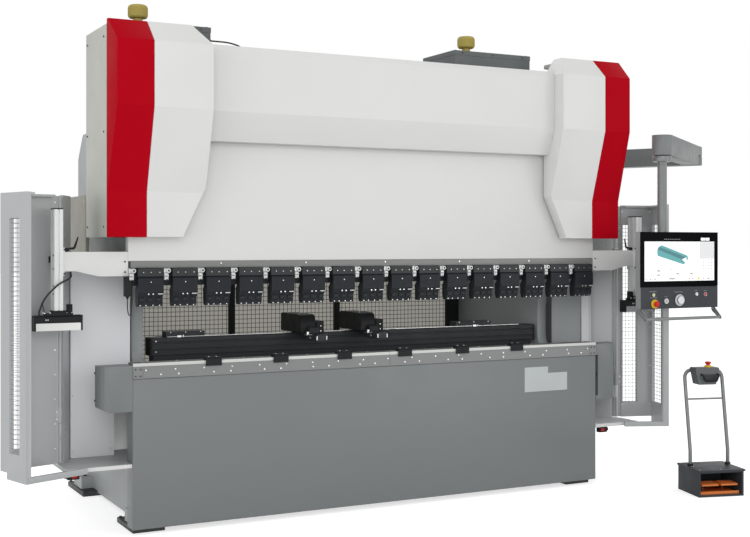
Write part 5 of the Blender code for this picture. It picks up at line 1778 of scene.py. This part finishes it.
    def _handle(self) -> None:
        """Build the handle bar with its two cheeks under the case."""
        left, right = self.case_x[0] + 0.007, self.case_x[1] - 0.02
        low = self.low - 0.0003
        corners = ((left, -0.335, low), (left, -0.335, 1.125), (left, -0.4, 1.08), (right, -0.4, 1.08),
                   (right, -0.335, 1.125), (right, -0.335, low))
        bar = Blank()
        bar.tube(rounded(corners, 0.012), 0.01, 14)
        bar.piece("pendant_grip", TUBE, self.body, 0.0, ("pendant_handle",))
        cheeks = Blank()
        side = ((-0.352, low), (-0.322, low), (-0.39, 1.069), (-0.411, 1.069), (-0.411, 1.086))
        for x in (left, right):
            cheeks.prism(side, "YZ", x - 0.0035, x + 0.0035)
        cheeks.piece("grip_cheeks", TUBE, self.body, 0.0008)


@dataclass
class FootConsole:
    """The foot console: base with two pedals, leaning hoop and the box with its stop button."""

    corner: Plan = (1.812, -0.646)
    turn: float = -0.2703
    high: float = 0.165
    hoop: Plan = (0.025, 0.28)
    lean: Plan = (0.165, 0.082)
    pedal_u: Plan = (0.03, 0.158)
    pedal_wide: float = 0.112
    rib_pitch: float = 0.0085
    spring: Plan = (0.008, 0.0012)
    spring_turns: int = 5
    spring_steps: int = 16

    def frame(self) -> Matrix:
        """Return where the console's own frame stands in the bed's."""
        return Matrix.Translation((*self.corner, 0)) @ Matrix.Rotation(self.turn, 4, "Z")

    def _blank(self) -> Blank:
        """Return an empty mesh in the console's own frame."""
        return Blank(self.frame())

    def build(self) -> None:
        """Build the console."""
        dress("console_base", SLATE, 0.0015)
        dress("console_hoop", TUBE, 0.0005)
        self._pedals()
        self._box()
        self._base_detail()

    def _pedals(self) -> None:
        """Build the two ribbed pedals."""
        tread = ((0.02, 0.064), (0.022, 0.062), (0.2, 0.04), (0.204, 0.046), (0.2, 0.052), (0.1, 0.0795),
                 (0.024, 0.0745), (0.02, 0.072))
        for (side, _), start in zip(SIDES, self.pedal_u):
            pedal = self._blank()
            pedal.prism(tread, "YZ", start, start + self.pedal_wide)
            pedal.piece(side + "_pedal_shell", ORANGE, side + "_treadle", 0.003, (side + "_pedal",))
            ribs = self._blank()
            for index in range(9):
                v = 0.028 + self.rib_pitch * index
                z = 0.0745 + (v - 0.024) * 0.0658
                ribs.box((start + 0.008, v, z - 0.003),
                         (start + self.pedal_wide - 0.008, v + 0.004, z + 0.0012))
            ribs.piece(side + "_pedal_ribs", TREAD, side + "_treadle", 0.0006)

    def _box(self) -> None:
        """Build the control box with its bow grip and stop button."""
        middle = sum(self.hoop) / 2
        back = sum(self.lean)
        near, far = back - 0.095, back - 0.012 - 0.0012
        box = self._blank()
        face = ((middle - 0.076, 0.672), (middle - 0.07, 0.67), (middle + 0.038, 0.67),
                (middle + 0.044, 0.672), (middle + 0.064, 0.76), (middle + 0.064, 0.776),
                (middle - 0.096, 0.776), (middle - 0.096, 0.76))
        box.prism(face, "XZ", near, far)
        box.piece("console_case", CHARCOAL, "machine", 0.003, ("console_box",))
        grip = self._blank()
        low, top = 0.694, 0.735
        corners = ((middle - 0.056, near + 0.004, top), (middle - 0.056, near - 0.018, top - 0.004),
                   (middle - 0.038, near - 0.022, low), (middle + 0.034, near - 0.022, low),
                   (middle + 0.052, near - 0.018, top - 0.004), (middle + 0.052, near + 0.004, top))
        grip.tube(rounded(corners, 0.009), 0.0065, 12)
        grip.piece("console_grip", PLASTIC, "machine", 0.0)
        backing = self._blank().box((middle - 0.048, near - 0.0008, low + 0.004),
                                    (middle + 0.044, near + 0.002, top))
        backing.piece("console_grip_plate", SLATE, "machine", 0.0008)
        place = (middle + 0.01, back - 0.05, 0.776)
        collar = self._blank()
        collar.turned(((0, 0.012), (0.012, 0.012), (0.0125, 0.011), (0.0218, 0.01), (0.022, 0.008),
                       (0.022, -0.001), (0, -0.001)), place, steps=28)
        collar.piece("console_stop_collar", STOP_YELLOW, "machine", 0.0)
        stop = self._blank()
        stop.turned(((0, 0.0355), (0.012, 0.035), (0.0185, 0.032), (0.02, 0.029), (0.0195, 0.024),
                     (0.012, 0.018), (0.0115, 0.011), (0, 0.011)), place, steps=28)
        stop.piece("console_stop_button", STOP_RED, "machine", 0.0)

    def _base_detail(self) -> None:
        """Add the orange pedal plate, return springs, lid screws and hoop sockets."""
        plate = self._blank()
        plate.box((0.02, 0.024, 0.0118), (0.28, 0.19, 0.02))
        plate.box((0.02, 0.02, 0.0118), (0.28, 0.028, 0.03))
        plate.piece("pedal_tray", ORANGE, "machine", 0.0015)
        springs = self._blank()
        radius, wire = self.spring
        for start in self.pedal_u:
            middle = start + self.pedal_wide / 2
            steps = range(self.spring_steps * self.spring_turns)
            turns = [2 * math.pi * step / self.spring_steps for step in steps]
            springs.tube([(middle + radius * math.cos(turn), 0.12 + radius * math.sin(turn),
                           0.0205 + 0.0022 * turn / 2.1)
                          for turn in turns], wire, 6)
        springs.piece("pedal_springs", BRIGHT, "machine", 0.0)
        sockets = self._blank()
        for u in self.hoop:
            sockets.turned(((0.0125, 0.016), (0.0165, 0.016), (0.0175, 0.013), (0.0175, 0.0008),
                            (0.0125, 0.0008)),
                           (u, self.lean[0], self.high))
        sockets.piece("hoop_sockets", PLASTIC, "machine", 0.0)
        screws = Screws("console_screws", "machine", BRIGHT)
        spots = [(u, v, self.high) for u in (0.012, 0.15, 0.288) for v in (0.012, 0.262)]
        spots += [(u + step, self.lean[0] - 0.03, self.high) for u in self.hoop for step in (-0.006, 0.006)]
        screws.add(UP, 0.0035, [tuple(self.frame() @ Vector(spot)) for spot in spots])
        screws.build()


@dataclass
class Studio:
    """The pale floor, the soft lights and the photograph's camera."""

    lens: float = 57.862
    shift: float = -0.0313
    eye: Place = (-3.354, -6.2505, 1.5437)
    heading: float = math.radians(27.624)
    aim: Place = (0.0, 0.4, 1.2)
    world_level: float = 0.78
    key_energy: float = 165.0
    lamps: Sequence[tuple[str, Place, float, float]] = (
        ("key", (-4.5, -8.5, 3.4), 5.0, 1.0), ("fill", (5.5, -8.0, 2.8), 5.0, 0.8),
        ("side", (-8.0, -3.2, 2.0), 4.0, 0.5), ("back_light", (1.0, 7.0, 6.5), 5.0, 0.35))
    floor_reach: float = 60.0
    floor_tone: float = 0.72
    floor_glow: float = 0.63

    def build(self) -> None:
        """Build the studio."""
        self._floor()
        self._world()
        for name, place, size, share in self.lamps:
            self._lamp(name, place, size, self.key_energy * share)
        camera = bpy.data.cameras.new("camera")
        camera.sensor_width = 36.0
        camera.lens = self.lens
        camera.shift_y = self.shift
        camera.clip_end = 200.0
        obj = add_object("camera", camera)
        obj.location = SHIFT @ Vector(self.eye)
        obj.rotation_euler = (math.pi / 2, 0.0, -self.heading)
        bpy.context.scene.camera = obj
        bpy.context.scene.view_settings.view_transform = "Standard"

    def _lamp(self, name: str, place: Place, size: float, energy: float) -> None:
        """Add a square soft light that looks at the machine.

        Args:
            name: The light's name.
            place: Where it hangs.
            size: The length of its side.
            energy: Its power.
        """
        light = bpy.data.lights.new(name, "AREA")
        light.shape = "SQUARE"
        light.size = size
        light.energy = energy
        obj = add_object(name, light)
        obj.location = SHIFT @ Vector(place)
        obj.rotation_euler = (SHIFT @ Vector(self.aim) - obj.location).to_track_quat("-Z", "Y").to_euler()

    def _seen(self, tree: bpy.types.NodeTree) -> bpy.types.NodeSocket:
        """Return a factor that is 1 for camera, glossy and transmission rays.

        Args:
            tree: The node tree that it is added to.

        Returns:
            The factor's output.
        """
        path = tree.nodes.new("ShaderNodeLightPath")
        total = path.outputs["Is Camera Ray"]
        for name in ("Is Glossy Ray", "Is Transmission Ray"):
            add = tree.nodes.new("ShaderNodeMath")
            add.operation = "ADD"
            add.use_clamp = True
            tree.links.new(total, add.inputs[0])
            tree.links.new(path.outputs[name], add.inputs[1])
            total = add.outputs[0]
        return total

    def _floor(self) -> None:
        """Build the pale floor, which shows white and keeps the machine's shadow."""
        mesh = bpy.data.meshes.new("floor")
        reach = self.floor_reach
        mesh.from_pydata([(-reach, -reach, 0), (reach, -reach, 0), (reach, reach, 0), (-reach, reach, 0)],
                         [], [(0, 1, 2, 3)])
        floor = add_object("floor", mesh)
        material = bpy.data.materials.new("floor_pale")
        material.use_nodes = True
        tree = material.node_tree
        shader = tree.nodes["Principled BSDF"]
        set_inputs(shader, {"Base Color": (*(self.floor_tone,) * 3, 1.0), "Roughness": 0.9,
                            "Specular IOR Level": 0.0, "Emission Color": (1.0, 1.0, 1.0, 1.0)})
        glow = tree.nodes.new("ShaderNodeMath")
        glow.operation = "MULTIPLY"
        glow.inputs[1].default_value = self.floor_glow
        tree.links.new(self._seen(tree), glow.inputs[0])
        tree.links.new(glow.outputs[0], shader.inputs["Emission Strength"])
        mesh.materials.append(material)

    def _world(self) -> None:
        """Light the scene evenly and show a white background."""
        world = bpy.data.worlds.new("studio")
        world.use_nodes = True
        tree = world.node_tree
        ground = tree.nodes["Background"]
        set_inputs(ground, {"Color": (1.0, 1.0, 1.0, 1.0)})
        level = tree.nodes.new("ShaderNodeMapRange")
        set_inputs(level, {"To Min": self.world_level, "To Max": 1.0})
        tree.links.new(self._seen(tree), level.inputs["Value"])
        tree.links.new(level.outputs["Result"], ground.inputs["Strength"])
        bpy.context.scene.world = world


def main() -> None:
    """Build every sub-assembly in order."""
    logging.basicConfig(level=logging.INFO, format="%(message)s")
    Studio().build()
    for assembly in (LaserArms(), Bed(), Housing(), ToolRow(), Guards(), BackGauge(), Pendant(),
                     FootConsole()):
        LOG.info("building %s", type(assembly).__name__)
        assembly.build()


if __name__ == "__main__":
    main()
